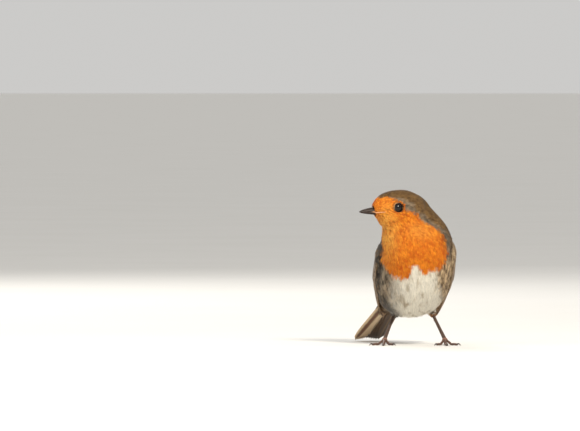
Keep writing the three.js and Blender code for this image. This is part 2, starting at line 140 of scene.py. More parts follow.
def noise(material, scale, detail=3.0, stretch=(1, 1, 1)):
    """Soft noise in the bird's own space; scale is in patches a metre."""
    where = add(material, "TexCoord", {}).outputs["Object"]
    spread = add(material, "Mapping", {"Vector": where, "Scale": stretch}).outputs["Vector"]
    made = add(material, "TexNoise", {"Vector": spread, "Scale": scale, "Detail": detail})
    return made.outputs["Fac"]


def remap(material, value, low, high, to_low=0.0, to_high=1.0):
    """The value's run from low to high, moved to run from to_low to to_high and no further."""
    inputs = {"Value": value, "From Min": low, "From Max": high, "To Min": to_low, "To Max": to_high}
    return add(material, "MapRange", inputs).outputs["Result"]


def mixed(material, factor, first, second, blend="MIX"):
    """One colour turning into another as the factor goes from 0 to 1."""
    made = add(material, "Mix", {0: factor, 6: first, 7: second}, data_type="RGBA", blend_type=blend)
    return made.outputs[2]


def calculate(material, operation, first, second):
    """Two values joined by arithmetic, held between 0 and 1."""
    inputs = {0: first, 1: second}
    return add(material, "Math", inputs, operation=operation, use_clamp=True).outputs[0]


def mark(material, name):
    """A marking that the mesh carries, from 0 to 1."""
    return add(material, "Attribute", {}, attribute_name=name).outputs["Fac"]


def paint(material, **outputs):
    """Joins outputs to the shader's sockets of the same names."""
    bsdf = material.node_tree.nodes["Principled BSDF"]
    for key, value in outputs.items():
        material.node_tree.links.new(value, bsdf.inputs[key.replace("_", " ")])


def bumped(material, height, depth, strength=1.0):
    """The normal of a surface raised by up to depth, in metres, where height is 1."""
    inputs = {"Height": height, "Distance": depth, "Strength": strength}
    paint(material, Normal=add(material, "Bump", inputs).outputs["Normal"])


FLOOR_HALF = 60.0  # half the floor's width

floor_finish = new_material("floor_paper", Roughness=0.75)
floor_tint = mixed(floor_finish, noise(floor_finish, 6), linear(236, 234, 229), linear(242, 240, 236))
paint(floor_finish, Base_Color=floor_tint)
bumped(floor_finish, noise(floor_finish, 900), 0.0001)

floor_mesh = bpy.data.meshes.new("floor")
floor_corners = [(x * FLOOR_HALF, y * FLOOR_HALF, 0) for x, y in ((-1, -1), (1, -1), (1, 1), (-1, 1))]
floor_mesh.from_pydata(floor_corners, [], [(0, 1, 2, 3)])
floor_mesh.materials.append(floor_finish)
floor = bpy.data.objects.new("floor", floor_mesh)
scene.collection.objects.link(floor)
floor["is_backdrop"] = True

# ---------------------------------------------------------------- skin
# One hide from the face to the feathered thighs, with no seam: the flesh pieces joined, then
# drawn in by the depth of the coat that lies on it. It shows only as down between feathers.
FLESH = ["head", "neck", "breast", "belly", "mantle", "rump", "thigh_left", "thigh_right"]
SIDES = {"left": 1, "right": -1}
SEAM = 0.00032  # how far each piece swells, to close the cuts between them
HIDE_GRAIN = 0.0006  # the size of the cells in which the pieces are joined
HIDE_SOFTENING = 12  # how many times the joins are smoothed

# From here on, lengths are millimetres in the bird's own axes: x to its left, y to its tail,
# z up from the floor, with the feet's middle at STANCE.
STANCE = np.array([0.8, 7.5, 0])
foot_boxes = [np.array(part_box(f"foot_{side}")) for side in SIDES]
ORIGIN = np.mean(foot_boxes, axis=(0, 1)) * [1, 1, 0] - STANCE / 1000
UP = np.array([0, 0, 1.0])


def unit(vectors):
    """The same directions, each one long."""
    return vectors / np.maximum(np.linalg.norm(vectors, axis=-1, keepdims=True), 1e-9)


def ramp(values, low, high):
    """A smooth step from 0 at low to 1 at high."""
    share = np.clip((values - low) / (high - low), 0, 1)
    return share * share * (3 - 2 * share)


def laid_flat(way, normals):
    """Directions turned to lie in the surface that has these normals."""
    return unit(way - normals * (way * normals).sum(1, keepdims=True))


def piece(name, points, faces, material, marks=None, unwrap=None, normals=None, replaces=()):
    """A mesh from points in the bird's millimetres, riding on the bird, with its markings."""
    mesh = bpy.data.meshes.new(name)
    mesh.vertices.add(len(points))
    mesh.vertices.foreach_set("co", (points / 1000 + ORIGIN).astype(np.float32).ravel())
    mesh.loops.add(faces.size)
    mesh.loops.foreach_set("vertex_index", faces.astype(np.int32).ravel())
    mesh.polygons.add(len(faces))
    mesh.polygons.foreach_set("loop_start", np.arange(0, faces.size, faces.shape[1], dtype=np.int32))
    mesh.polygons.foreach_set("use_smooth", np.ones(len(faces), bool))
    mesh.update(calc_edges=True)
    for key, values in (marks or {}).items():
        made = mesh.attributes.new(key, "FLOAT", "POINT")
        made.data.foreach_set("value", np.asarray(values, np.float32))
    if unwrap is not None:
        # given for each point, or for each corner of each face
        corners = unwrap if len(unwrap) == faces.size else unwrap[faces.ravel()]
        layer = mesh.uv_layers.new(name="OFBake")
        layer.data.foreach_set("uv", corners.astype(np.float32).ravel())
    if normals is not None:
        mesh.normals_split_custom_set_from_vertices(unit(normals).tolist())
    mesh.materials.append(material)
    made = bpy.data.objects.new(name, mesh)
    scene.collection.objects.link(made)
    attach(made, "root")
    if replaces:
        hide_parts(*replaces)
    return made


def swollen(nodes, swell):
    """The named pieces as one mesh, each grown until it runs into its neighbours."""
    joined = bmesh.new()
    for name in nodes:
        part = bmesh.new()
        part.from_mesh(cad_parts[name].data)
        bmesh.ops.remove_doubles(part, verts=part.verts, dist=1e-6)
        part.normal_update()
        for vertex in part.verts:
            vertex.co += vertex.normal * swell
        spare = bpy.data.meshes.new("spare")
        part.to_mesh(spare)
        joined.from_mesh(spare)
        part.free()
        bpy.data.meshes.remove(spare)
    mesh = bpy.data.meshes.new("flesh")
    joined.to_mesh(mesh)
    joined.free()
    return mesh


def hide(nodes, swell, softening):
    """The nodes' outer surface as points, normals and triangles, in the bird's millimetres."""
    holder = bpy.data.objects.new("hide", swollen(nodes, swell))
    scene.collection.objects.link(holder)
    fused = holder.modifiers.new("fused", "REMESH")
    fused.mode = "VOXEL"
    fused.voxel_size = HIDE_GRAIN
    softened = holder.modifiers.new("softened", "SMOOTH")
    softened.factor = 0.5
    softened.iterations = softening
    shown = holder.evaluated_get(bpy.context.evaluated_depsgraph_get())
    mesh = bpy.data.meshes.new_from_object(shown)
    bpy.data.objects.remove(holder)
    mesh.calc_loop_triangles()
    points = np.zeros(len(mesh.vertices) * 3, np.float32)
    mesh.vertices.foreach_get("co", points)
    normals = np.zeros(len(mesh.vertices) * 3, np.float32)
    mesh.vertices.foreach_get("normal", normals)
    faces = np.zeros(len(mesh.loop_triangles) * 3, np.int32)
    mesh.loop_triangles.foreach_get("vertices", faces)
    bpy.data.meshes.remove(mesh)
    points = (points.reshape(-1, 3) - ORIGIN) * 1000
    normals = normals.reshape(-1, 3)
    return points - normals * swell * 1000, normals, faces.reshape(-1, 3)


class Surface:
    """Something that feathers lie on: its triangles, and its nearest place to any point."""

    def __init__(self, points, normals, faces):
        """A surface from its points, the normals there and its triangles."""
        self.points, self.normals, self.faces = points, normals, faces
        self.tree = BVHTree.FromPolygons(points.tolist(), faces.tolist())
        self.face_normals = unit(normals[faces].mean(1))

    def settle(self, points):
        """The nearest places on the surface, and its normals there."""
        found = [self.tree.find_nearest(point) for point in points.tolist()]
        places = np.array([place[:] for place, _, _, _ in found])
        return places, self.face_normals[[index for _, _, index, _ in found]]


# The head's axes, from the eyes.
eye_middles = {side: (np.mean(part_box(f"eye_{side}"), axis=0) - ORIGIN) * 1000 for side in SIDES}
HEAD = (eye_middles["left"] + eye_middles["right"]) / 2
HEAD_LEFT = unit(eye_middles["left"] - eye_middles["right"])
HEAD_AHEAD = np.array([HEAD_LEFT[1], -HEAD_LEFT[0], 0])
HEAD_TURN = math.atan2(-HEAD_AHEAD[0], -HEAD_AHEAD[1])
NECK_TURN_FROM, NECK_TURN_TO = 66, 80  # heights between which the neck twists


def in_head(ahead, left, up):
    """A place given from the middle between the eyes."""
    return HEAD + HEAD_AHEAD * ahead + HEAD_LEFT * left + UP * up


def head_axes(points):
    """How far points lie ahead of the head's middle, to its left and above it."""
    away = points - HEAD
    return away @ HEAD_AHEAD, away @ HEAD_LEFT, away[..., 2]


def untwisted(points):
    """How far points lie forward of the body's axis and to its left, with the neck unwound."""
    turn = HEAD_TURN * ramp(points[..., 2], NECK_TURN_FROM, NECK_TURN_TO)
    x, y = points[..., 0], points[..., 1] + 4
    return -np.sin(turn) * x - np.cos(turn) * y, np.cos(turn) * x - np.sin(turn) * y


# The feathers of the nape fill the crease between the turned head and the back.
CREASE = in_head(-18.3, 0, 3.2)
CREASE_REACH = [4.6, 7.0, 4.2]
CREASE_FILL = 1.5
hide_points, hide_normals, hide_faces = hide(FLESH, SEAM, HIDE_SOFTENING)
from_crease = (hide_points - CREASE) / CREASE_REACH
hide_points += hide_normals * (CREASE_FILL * np.exp(-(from_crease**2).sum(1)))[:, None]

# The loose feathers of the rump fill the room under the wing that the tail swings away from.
RUMP_SIDE = np.array([12.0, 37.0, 29.0])
RUMP_REACH = [8.0, 9.0, 10.0]
RUMP_FILL = 3.2
from_side = (hide_points - RUMP_SIDE) / RUMP_REACH
hide_points += hide_normals * (RUMP_FILL * np.exp(-(from_side**2).sum(1)))[:, None]
body = Surface(hide_points, hide_normals, hide_faces)

# Markings. The orange bib ends behind the eye and at the sides of the breast; a slate band
# borders it; the belly is white, the flanks buff with dark streaks, and the rest is olive brown.
# Some marks are painted light and shade: a paler throat, a dusky right side and darker shaded patches.
BIB_HEIGHTS = [46, 50, 55, 60, 67, 70, 74, 79, 80.5, 81.6, 84, 86.3, 87.9, 88.8, 90.1, 90.7, 91.3]
BIB_BACK_EDGE = [3, 2.5, 2.5, 3.0, 3.2, 2.6, 1.8, 0.8, 2.4, 7.6, 8.8, 9.2, 10.8, 13.2, 15.2, 20.7, 30]
BIB_TURN = 0.3  # how much further forward the bib ends on the bird's left, as its neck turns right
BIB_SIDES = [-22, -17, -13, -9, -6, -4.4, -3.4, -1.6, 1.5, 3.6, 5.6, 9, 15.6, 20]
BIB_HEM = [53, 47.5, 42.6, 41.2, 40.4, 40.8, 43.8, 48.2, 49.4, 46.5, 43.4, 45.4, 46.4, 53]
SLATE_WIDTH = 5.5


def markings(points):
    """The strength of each marking at points, from 0 to 1."""
    forward, left = untwisted(points)
    height = points[..., 2]
    wander = 0.7 * np.sin(height * 1.9 + left * 0.7) + 0.6 * np.sin(left * 2.3 - forward * 1.1)
    behind = forward - np.interp(height, BIB_HEIGHTS, BIB_BACK_EDGE) + wander * 0.5
    behind = behind - BIB_TURN * left * ramp(height, 73, 66)
    above = height - np.interp(left, BIB_SIDES, BIB_HEM) + wander * 0.6
    bib = ramp(behind, -0.8, 0.8) * ramp(above, -1.1, 1.1)
    slate = ramp(behind, -SLATE_WIDTH - 1.5, -SLATE_WIDTH + 1.5) * ramp(height, 40, 50) * (1 - bib)
    under = 17.5 - np.abs(left - 1.5) + 0.1 * (points[..., 1] - 5)
    pale = ramp(under, -2.5, 3.5) * ramp(above, 1.5, -0.5)
    pale = np.maximum(pale * ramp(points[..., 1], 34, 24), pale * ramp(height, 27, 23))
    inner = 10.5 + 0.22 * np.clip(46 - height, 0, 20) + wander
    flank = ramp(np.abs(left), inner, inner + 6) * ramp(height, 55, 49) * ramp(points[..., 1], 24, 14)
    in_front = ramp(points[..., 1], 12, 0)
    x, y = points[..., 0], points[..., 1]
    # painted light: a paler patch on the bird's right throat and a weaker one left of its middle
    throat = np.exp(-(((x + 17) / 6.5) ** 2 + ((height - 69) / 14) ** 2)) * ramp(y, 6, -4)
    throat = np.maximum(throat, 0.4 * np.exp(-(((x - 4) / 9) ** 2 + ((height - 70) / 5) ** 2)))
    # painted shade where shadow falls: a dark shoulder on the left, the dark side under the right wing's tip
    shade = 0.5 * np.exp(-(((x - 20.5) / 4) ** 2 + ((height - 66) / 6.5) ** 2))
    below = -(x + 20.7) * 0.727 - (height - 32.9) * 0.686
    shade = np.maximum(shade, 0.9 * ramp(below + wander * 0.4, -1.2, 1.8) * ramp(y, 24, 15))
    # the bird's right side drawn dusky: partly its own grey olive, partly painted shade, most at the front
    dusk = np.maximum(flank, 0.5 * ramp(left, -3, -13) * ramp(above, 2, -3)) * ramp(left, 4, -10)
    return {"bib": bib, "slate": slate, "pale": pale,
            "flank": flank * np.maximum(ramp(left, -10, 10), 0.8 * (1 - in_front)),
            "dusk": dusk * (0.25 + 0.75 * in_front),
            "throat": throat, "shade": shade}


def plumage(name, deep=1.0):
    """Feather colours from the markings, varied from feather to feather and from barb to barb.

    A deep below 1 darkens them all; the skin's down is drawn with it.
    """
    made = new_material(name, Roughness=0.74, Specular_IOR_Level=0.24, Sheen_Weight=0.05,
                        Sheen_Roughness=0.5)
    tone, barb, reach = (mark(made, key) for key in ("tone", "barb", "reach"))
    patchy = noise(made, 300, 5)
    varied = calculate(made, "ADD", calculate(made, "MULTIPLY", tone, 0.62),
                       calculate(made, "MULTIPLY", patchy, 0.5))
    varied = remap(made, varied, 0.22, 0.88)
    # long streaks down the flanks and the belly, where a row of feathers shares one colour
    streak = remap(made, noise(made, 640, 3, (1, 0.8, 0.24)), 0.34, 0.66)
    streaked = calculate(made, "ADD", calculate(made, "MULTIPLY", tone, 0.55),
                         calculate(made, "MULTIPLY", streak, 0.7))
    back = mixed(made, varied, linear(84, 61, 34), linear(148, 112, 66))
    slate = mixed(made, varied, linear(80, 69, 57), linear(164, 142, 114))
    wisp = remap(made, noise(made, 280, 4, (1, 0.5, 0.32)), 0.32, 0.54)
    white = calculate(made, "ADD", calculate(made, "MULTIPLY", tone, 0.35),
                      calculate(made, "MULTIPLY", wisp, 0.75))
    pale = mixed(made, remap(made, white, 0.0, 0.72), linear(178, 158, 126), linear(255, 249, 233))
    buff = mixed(made, remap(made, streaked, 0.28, 1.02), linear(102, 76, 48), linear(240, 209, 164))
    # dusky grey olive: partly the right flank's own colour, partly painted shade
    dusky_and_shaded = mixed(made, remap(made, streaked, 0.28, 1.02), linear(52, 43, 33), linear(200, 179, 149))
    bib = mixed(made, varied, linear(202, 84, 1), linear(252, 154, 32))
    # painted light: paler yellow orange where the throat mark is; the eye rings take it as their own colour
    lighter = calculate(made, "MULTIPLY", mark(made, "throat"), remap(made, tone, 0.0, 0.8, 0.35, 1.0))
    bib = mixed(made, lighter, bib, linear(255, 190, 84))
    colour = mixed(made, mark(made, "slate"), back, slate)
    colour = mixed(made, mark(made, "pale"), colour, pale)
    colour = mixed(made, mark(made, "flank"), colour, buff)
    colour = mixed(made, mark(made, "dusk"), colour, dusky_and_shaded)
    colour = mixed(made, mark(made, "bib"), colour, bib)
    # painted shade: feathers turn near-black brown where the shade mark is; those of high tone stay lighter
    shade = calculate(made, "MULTIPLY", mark(made, "shade"), remap(made, tone, 0.72, 0.95, 1.0, 0.3))
    colour = mixed(made, shade, colour, mixed(made, varied, linear(24, 21, 19), linear(58, 50, 42)))
    light = calculate(made, "ADD", calculate(made, "MULTIPLY", barb, 0.46), 0.6)
    light = calculate(made, "MULTIPLY", light, remap(made, reach, 0, 0.6, 0.45, 1.0))
    if deep < 1:
        light = calculate(made, "MULTIPLY", light, deep)
    paint(made, Base_Color=mixed(made, 1.0, colour, light, "MULTIPLY"))
    bumped(made, noise(made, 2600, 2), 0.0002)
    return made


def coat_depth(points):
    """How far the skin lies under the coat's surface: little on the face and thighs."""
    ahead, _, _ = head_axes(points)
    deep = 0.55 + 1.25 * ramp(points[:, 2], 86, 66) * ramp(-ahead, -10, 2)
    return np.where(points[:, 2] < 24, 0.6, deep)


# The coat's unwrap: along the body's own curve from the bill to the tail, and round it.
SPINE = np.array([in_head(14, 0, -2), in_head(0, 0, 0), in_head(-9, 0, -6), (-1, 3, 70), (0.5, 6, 56),
                  (1, 12, 42), (0, 24, 30), (-6, 36, 25), (-12, 48, 24)])
SPINE_MIDDLES = (SPINE[1:] + SPINE[:-1]) / 2
SPINE_STEPS = np.diff(SPINE, axis=0)
SPINE_REACH = 9.0


def spine_weights(points):
    """How much each stretch of the body's curve counts at each point: the nearest count most."""
    away = np.linalg.norm(points[:, None] - SPINE_MIDDLES[None], axis=2)
    weights = np.exp(-0.5 * ((away - away.min(1, keepdims=True)) / SPINE_REACH * 2) ** 2)
    return weights / weights.sum(1, keepdims=True)


def unwrapped(points):
    """Places in a unit square: round the body's curve, and along it."""
    weights = spine_weights(points)
    middle = weights @ SPINE_MIDDLES
    along_spine = unit(weights @ SPINE_STEPS)
    away = points - middle
    run = np.concatenate([[0], np.cumsum(np.linalg.norm(SPINE_STEPS, axis=1))])
    place = weights @ ((run[1:] + run[:-1]) / 2) + (away * along_spine).sum(1)
    across = unit(np.cross(along_spine, np.array([0.0, 0.35, 1.0])))
    over = np.cross(across, along_spine)
    turn = np.arctan2((away * across).sum(1), (away * over).sum(1))
    return np.stack([0.5 + 0.48 * turn / math.pi, np.clip(0.02 + 0.96 * (place + 20) / 150, 0.01, 0.99)], 1)


SOCKET_REACH = 3.0  # how near an eye's middle the skin is pressed in
SOCKET_BACK = 2.6  # and how far from it the skin then lies, inside the ball


def skin_points():
    """The hide drawn in by the coat's depth, and pressed in behind the eyeballs."""
    points = body.points - body.normals * coat_depth(body.points)[:, None]
    for middle in eye_middles.values():
        away = points - middle
        near = np.linalg.norm(away, axis=1) < SOCKET_REACH
        points[near] = middle + unit(away[near]) * SOCKET_BACK
    return points


skin_marks = markings(body.points)
ones = np.ones(len(body.points))
skin_marks.update(tone=0.3 * ones, barb=0.3 * ones, reach=0.35 * ones)
piece("skin", skin_points(), body.faces, plumage("skin_down", deep=0.75),
      skin_marks, replaces=FLESH)


# ---------------------------------------------------------------- feather coat
# Soft body feathers. Each is a fan of thin barbs from one shaft, rooted on the skin, lying
# backwards over the next ones and bent to the body, with its tip at the coat's surface.
def lie(points, normals):
    """Which way feathers point: back over the head, down the throat and breast, then back."""
    way = unit(spine_weights(points) @ SPINE_STEPS)
    ahead, _, up = head_axes(points)
    way[:, 2] -= 0.9 * ramp(up, 1, -9) * ramp(ahead, -14, -2) * ramp(points[:, 2], 58, 66)
    return laid_flat(way, normals)


EYE_OPENING = 2.6  # half the width of the eye that shows


def off_the_eyes(points, margin):
    """Moves points that lie over an eye's opening out to its rim."""
    for side, sign in SIDES.items():
        ahead, left, up = head_axes(points)
        across = np.hypot(ahead, up)
        over = (left * sign > 5) & (across < EYE_OPENING + margin)
        push = (EYE_OPENING + margin) / np.maximum(across[over], 0.1)
        points[over] += (HEAD_AHEAD * (ahead[over] * (push - 1))[:, None]
                         + UP * (up[over] * (push - 1))[:, None])
    return points


def scatter(surface, wanted, spacing, seed):
    """Places on a surface where wanted is true of them, no nearer to each other than spacing."""
    dice = np.random.default_rng(seed)
    corners = surface.points[surface.faces]
    corners = corners[wanted(corners.mean(1))]
    area = np.linalg.norm(np.cross(corners[:, 1] - corners[:, 0], corners[:, 2] - corners[:, 0]), axis=1)
    tries = int(area.sum() / 2 / spacing(corners.mean(1)).mean() ** 2 * 4)
    pick = dice.choice(len(corners), tries, p=area / area.sum())
    share = np.sort(dice.random((tries, 2)), axis=1)
    shares = np.stack([share[:, 0], share[:, 1] - share[:, 0], 1 - share[:, 1]], 1)
    points = (corners[pick] * shares[:, :, None]).sum(1)
    gaps = spacing(points)
    cell = gaps.max()
    kept = {}
    roots = []
    for point, gap in zip(points.tolist(), gaps.tolist()):
        key = tuple(int(c // cell) for c in point)
        near = (other for dx in (-1, 0, 1) for dy in (-1, 0, 1) for dz in (-1, 0, 1)
                for other in kept.get((key[0] + dx, key[1] + dy, key[2] + dz), ()))
        if all(math.dist(point, other) > gap for other in near):
            kept.setdefault(key, []).append(point)
            roots.append(point)
    return np.array(roots)


LINE_STEPS = 4  # straight stretches in a feather's middle line


def shaft_lines(surface, roots, length, direction, swing, clear=0.0):
    """Each feather's middle line over the surface, with the normals along it."""
    at, up = surface.settle(roots)
    line, ups = [at], [up]
    for _ in range(LINE_STEPS):
        way = direction(at, up)
        way = unit(way + np.cross(up, way) * swing[:, None])
        step = at + way * (length / LINE_STEPS)[:, None]
        if clear:
            step = off_the_eyes(step, clear)
        at, up = surface.settle(step)
        if clear:
            at = off_the_eyes(at, clear)
        line.append(at)
        ups.append(up)
    return np.stack(line, 1), np.stack(ups, 1)


BAKE_PATCH = 0.0015  # half the width of a feather's own patch in the unwrap


def feathers(name, roots, surface, direction, material, slot, seed, length, width, depth, barbs,
             barb_width=0.2, rise=0.0, marks_of=markings, place_of=unwrapped, clear=0.0, fan=100):
    """A coat piece: at each root a feather of this length, width and number of barbs."""
    dice = np.random.default_rng(seed)
    count = len(roots)
    reach = length(roots) * dice.uniform(0.85, 1.12, count)
    half = width(roots) / 2 * dice.uniform(0.85, 1.15, count)
    line, ups = shaft_lines(surface, roots, reach, direction, dice.normal(0, 0.13, count), clear)
    deep = depth(roots)

    # each barb leaves the shaft at one share of its length and ends on the feather's round tip
    angle = np.radians(fan) * np.linspace(-1, 1, barbs)
    angle = angle + dice.normal(0, 0.05, (count, barbs))
    end = (0.6 + 0.4 * np.cos(angle)) * dice.uniform(0.86, 1.05, (count, barbs))
    out = np.sin(angle) * dice.uniform(0.85, 1.1, (count, barbs))
    start = np.maximum(end - dice.uniform(0.42, 0.6, (count, barbs)), 0.0)
    thin = barb_width / 2 * dice.uniform(0.75, 1.25, (count, barbs))
    run = (end - start) * reach[:, None]
    spread = out * half[:, None]
    size = np.hypot(run, spread)
    lift = dice.normal(0, 0.07, (count, barbs))

    stations = [(0.0, 0.55, -1), (0.0, 0.55, 1), (0.55, 1.0, -1), (0.55, 1.0, 1), (1.0, 0.0, 0)]
    points, normals = [], []
    rows = np.arange(count)[:, None]
    for share, girth, edge in stations:
        offset = thin * girth * edge
        along = start + (end - start) * share - offset * spread / size / reach[:, None]
        across = spread * share ** 0.85 + offset * run / size
        place = np.clip(along, 0, 1.04) * LINE_STEPS
        first = np.minimum(place.astype(int), LINE_STEPS - 1)
        part = (place - first)[:, :, None]
        base = line[rows, first] * (1 - part) + line[rows, first + 1] * part
        up = unit(ups[rows, first] * (1 - part) + ups[rows, first + 1] * part)
        ahead = unit(line[rows, first + 1] - line[rows, first])
        side = np.cross(up, ahead)
        height = (-deep[:, None] * np.clip(1 - along, 0, 1) ** 1.4 + rise * along ** 3
                  + lift * (0.3 + share) - 0.14 * across ** 2 / np.maximum(half[:, None], 0.5))
        points.append(base + side * across[:, :, None] + up * height[:, :, None])
        tilt = dice.normal(0, 0.16, (count, barbs, 1))
        normals.append(up + side * (tilt + 0.35 * (across / half[:, None])[:, :, None]) + ahead * 0.12)
    points = np.stack(points, 2)
    normals = np.stack(normals, 2)

    corners = len(stations)
    barb_faces = np.array([[0, 3, 1], [0, 2, 3], [2, 4, 3]])
    starts = np.arange(count * barbs)[:, None, None] * corners
    faces = (starts + barb_faces[None]).reshape(-1, 3)

    tips = line[:, LINE_STEPS - 1] + dice.normal(0, 0.45, (count, 3))
    marks = {}
    for key, values in marks_of(tips).items():
        marks[key] = np.repeat(values, barbs * corners)
    marks["tone"] = np.repeat(dice.random(count), barbs * corners)
    marks["barb"] = np.repeat(dice.random(count * barbs), corners)
    shares = np.array([share for share, _, _ in stations])
    along = start[:, :, None] + (end - start)[:, :, None] * shares
    marks["reach"] = along.ravel()
    spot = np.repeat(place_of(roots), barbs * corners, 0)
    spot[:, 0] += BAKE_PATCH * (out[:, :, None] * shares).ravel()
    spot[:, 1] += BAKE_PATCH * (2 * along.ravel() - 1)
    return piece(name, points.reshape(-1, 3), faces, material, marks, np.clip(spot, 0, 1),
                 normals.reshape(-1, 3))


def fixed(value):
    """A size that is the same everywhere on a piece."""
    return lambda points: np.full(len(points), float(value))


# Wing coordinates: along from the wrist to the tip of the longest primary, across towards the back.
WRIST = np.array([0, -6.5, 60.5])
WING_TIP = np.array([0, 52, 17])
WING_LENGTH = 73
WING_ALONG = unit(WING_TIP - WRIST)
WING_ACROSS = np.array([0, -WING_ALONG[2], WING_ALONG[1]])
BODY_LEAN = 0.09  # how far the body's middle plane leans to the left for each millimetre up
WING_SHARES = [0.0, 0.05, 0.13, 0.27, 0.42, 0.56, 0.7, 0.84, 0.95, 1.0]
WING_OUTER = [21.8, 23.6, 24.9, 25.4, 25.3, 24.4, 23.2, 21.2, 19.2, 17.8]
WING_UPPER_DROOP = [1.0, 1.8, 3.4, 7.0, 10.0, 11.5, 10.0, 7.0, 6.4, 4.5]
WING_LOWER_DROOP = [0.8, 1.0, 1.4, 2.0, 2.2, 2.0, 1.6, 0.9, 0.5, 0.3]
WING_UPPER = [3.5, 7.2, 10.4, 13.0, 13.4, 11.4, 7.6, 4.0, 2.8, 2.0]
WING_LOWER = [-3.0, -5.8, -8.0, -9.6, -9.6, -8.4, -6.8, -5.0, -3.4, -2.0]


def flowing(shares, values, at):
    """A smooth curve through the values at these shares."""
    shares, values = np.asarray(shares, float), np.asarray(values, float)
    slopes = np.gradient(values, shares)
    at = np.clip(at, shares[0], shares[-1])
    first = np.clip(np.searchsorted(shares, at, side="right") - 1, 0, len(shares) - 2)
    gap = shares[first + 1] - shares[first]
    t = (at - shares[first]) / gap
    return ((2 * t**3 - 3 * t**2 + 1) * values[first] + (t**3 - 2 * t**2 + t) * gap * slopes[first]
            + (3 * t**2 - 2 * t**3) * values[first + 1] + (t**3 - t**2) * gap * slopes[first + 1])


def wing_face(share, across):
    """How far out a folded wing's outer face stands, and its lower and upper edge there."""
    upper, lower = flowing(WING_SHARES, WING_UPPER, share), flowing(WING_SHARES, WING_LOWER, share)
    droop = np.where(across > 0, flowing(WING_SHARES, WING_UPPER_DROOP, share) * (across / upper) ** 2,
                     flowing(WING_SHARES, WING_LOWER_DROOP, share) * (across / lower) ** 2)
    return flowing(WING_SHARES, WING_OUTER, share) - droop, lower, upper


def on_wing(sign, along, across, lift):
    """A place on a folded wing's outer face, lifted off it."""
    place = WRIST + WING_ALONG * along[..., None] + WING_ACROSS * across[..., None]
    outer = wing_face(along / WING_LENGTH, across)[0] + lift
    place[..., 0] = sign * outer + BODY_LEAN * (place[..., 2] - 40)
    return place


def outward(points):
    """How far points lie from the body's middle plane."""
    return np.abs(points[:, 0] - BODY_LEAN * (points[:, 2] - 40))


def under_a_wing(points, margin, deep=4.5):
    """Whether points lie close beneath a folded wing, further in than the margin."""
    away = points - WRIST
    along, across = away @ WING_ALONG, away @ WING_ACROSS
    face, lower, upper = wing_face(along / WING_LENGTH, across)
    inside = (along > margin) & (along < WING_LENGTH) & (across < upper - margin) & (across > lower + margin)
    return inside & (outward(points) > face - deep)


def bare(points):
    """Whether a feather can't be rooted there: on an eye, under the bill or under a wing."""
    ahead, left, up = head_axes(points)
    eye = (np.abs(left) > 5) & (np.hypot(ahead, up) < EYE_OPENING + 0.25)
    bill = (ahead > 9.8) & (np.abs(left) < 1.7) & (np.abs(up + 2.4) < 1.7)
    return eye | bill | under_a_wing(points, 2.2)


def region(points):
    """The name of the coat that covers each point."""
    ahead, left, up = head_axes(points)
    forward, side = untwisted(points)
    height, back = points[:, 2], points[:, 1]
    names = np.full(len(points), "belly", object)
    names[np.abs(points[:, 0]) > 14] = "flanks"
    names[height > 43] = "breast"
    names[height > 61] = "neck"
    behind = (back > 9) & (height > 40 - (back - 9) * 0.5)
    names[behind & (height <= 76)] = "back"
    names[(back > 33) & (height > 22)] = "rump"
    names[(height > 74) & (ahead <= -2.5)] = "crown"
    names[(height > 73) & (ahead > -2.5)] = "face"
    ankle = np.hypot(np.abs(points[:, 0] - 0.2) - 11, back - 18.5)
    names[(height < 24.5) & (ankle < 7) & (height < 16.5 + 0.35 * np.abs(points[:, 0]))] = "thighs"
    return names


coat = plumage("coat")


def coat_piece(name, slot, seed, spacing, **shape):
    """The feathers of one region of the body, rooted this far apart."""
    roots = scatter(body, lambda points: (region(points) == name) & ~bare(points), spacing, seed)
    feathers(f"coat_{name}", roots, body, lie, coat, slot, seed, **shape)


def face_size(points):
    """How large face feathers are, from 0 at the bill and the eyes to 1 at the cheek and nape."""
    ahead, left, up = head_axes(points)
    bill = np.hypot(np.hypot(ahead - 12, left), up + 2.5)
    eye = np.hypot(ahead, up)
    return np.minimum(ramp(bill, 1.5, 15), 0.25 + 0.75 * ramp(eye, 2.5, 9))


# Face: the shortest and finest feathers, like fur round the bill and the eyes.
coat_piece("face", "face_feathers", 11, lambda p: 0.33 + 0.3 * face_size(p),
           length=lambda p: 1.3 + 2.9 * face_size(p), width=lambda p: 0.8 + 1.4 * face_size(p),
           depth=lambda p: 0.35 + 0.4 * face_size(p), barbs=12, barb_width=0.13, clear=0.5)

# Crown and nape: short, close and flat.
coat_piece("crown", "back_feathers", 12, fixed(0.62), length=fixed(4.4), width=fixed(2.5),
           depth=fixed(0.7), barbs=18, barb_width=0.15)

# Throat and neck: longer, running down from the chin.
coat_piece("neck", "face_feathers", 13, fixed(0.7), length=fixed(6.0), width=fixed(3.0),
           depth=fixed(1.0), barbs=22, barb_width=0.16)

# Breast: the full orange bib, and the slate feathers at its sides.
coat_piece("breast", "breast_feathers", 14, fixed(0.7), length=fixed(7.4), width=fixed(3.4),
           depth=fixed(1.2), barbs=26, barb_width=0.16, rise=0.5)

# Belly: long and loose, with open barbs.
coat_piece("belly", "belly_feathers", 15, fixed(0.84), length=fixed(9.0), width=fixed(4.2),
           depth=fixed(1.3), barbs=26, barb_width=0.17, rise=0.6)

# A few loose feathers hang from the belly in front of the legs.
vent_roots = scatter(body, lambda points: (points[:, 2] < 21) & (points[:, 1] < 14) & (points[:, 0] > -11)
                     & (points[:, 0] < 8), fixed(1.7), 25)
feathers("belly_wisps", vent_roots, body, lie, coat, "belly_feathers", 25, length=fixed(8.5),
         width=fixed(4.0), depth=fixed(0.5), barbs=18, barb_width=0.15, rise=1.5)

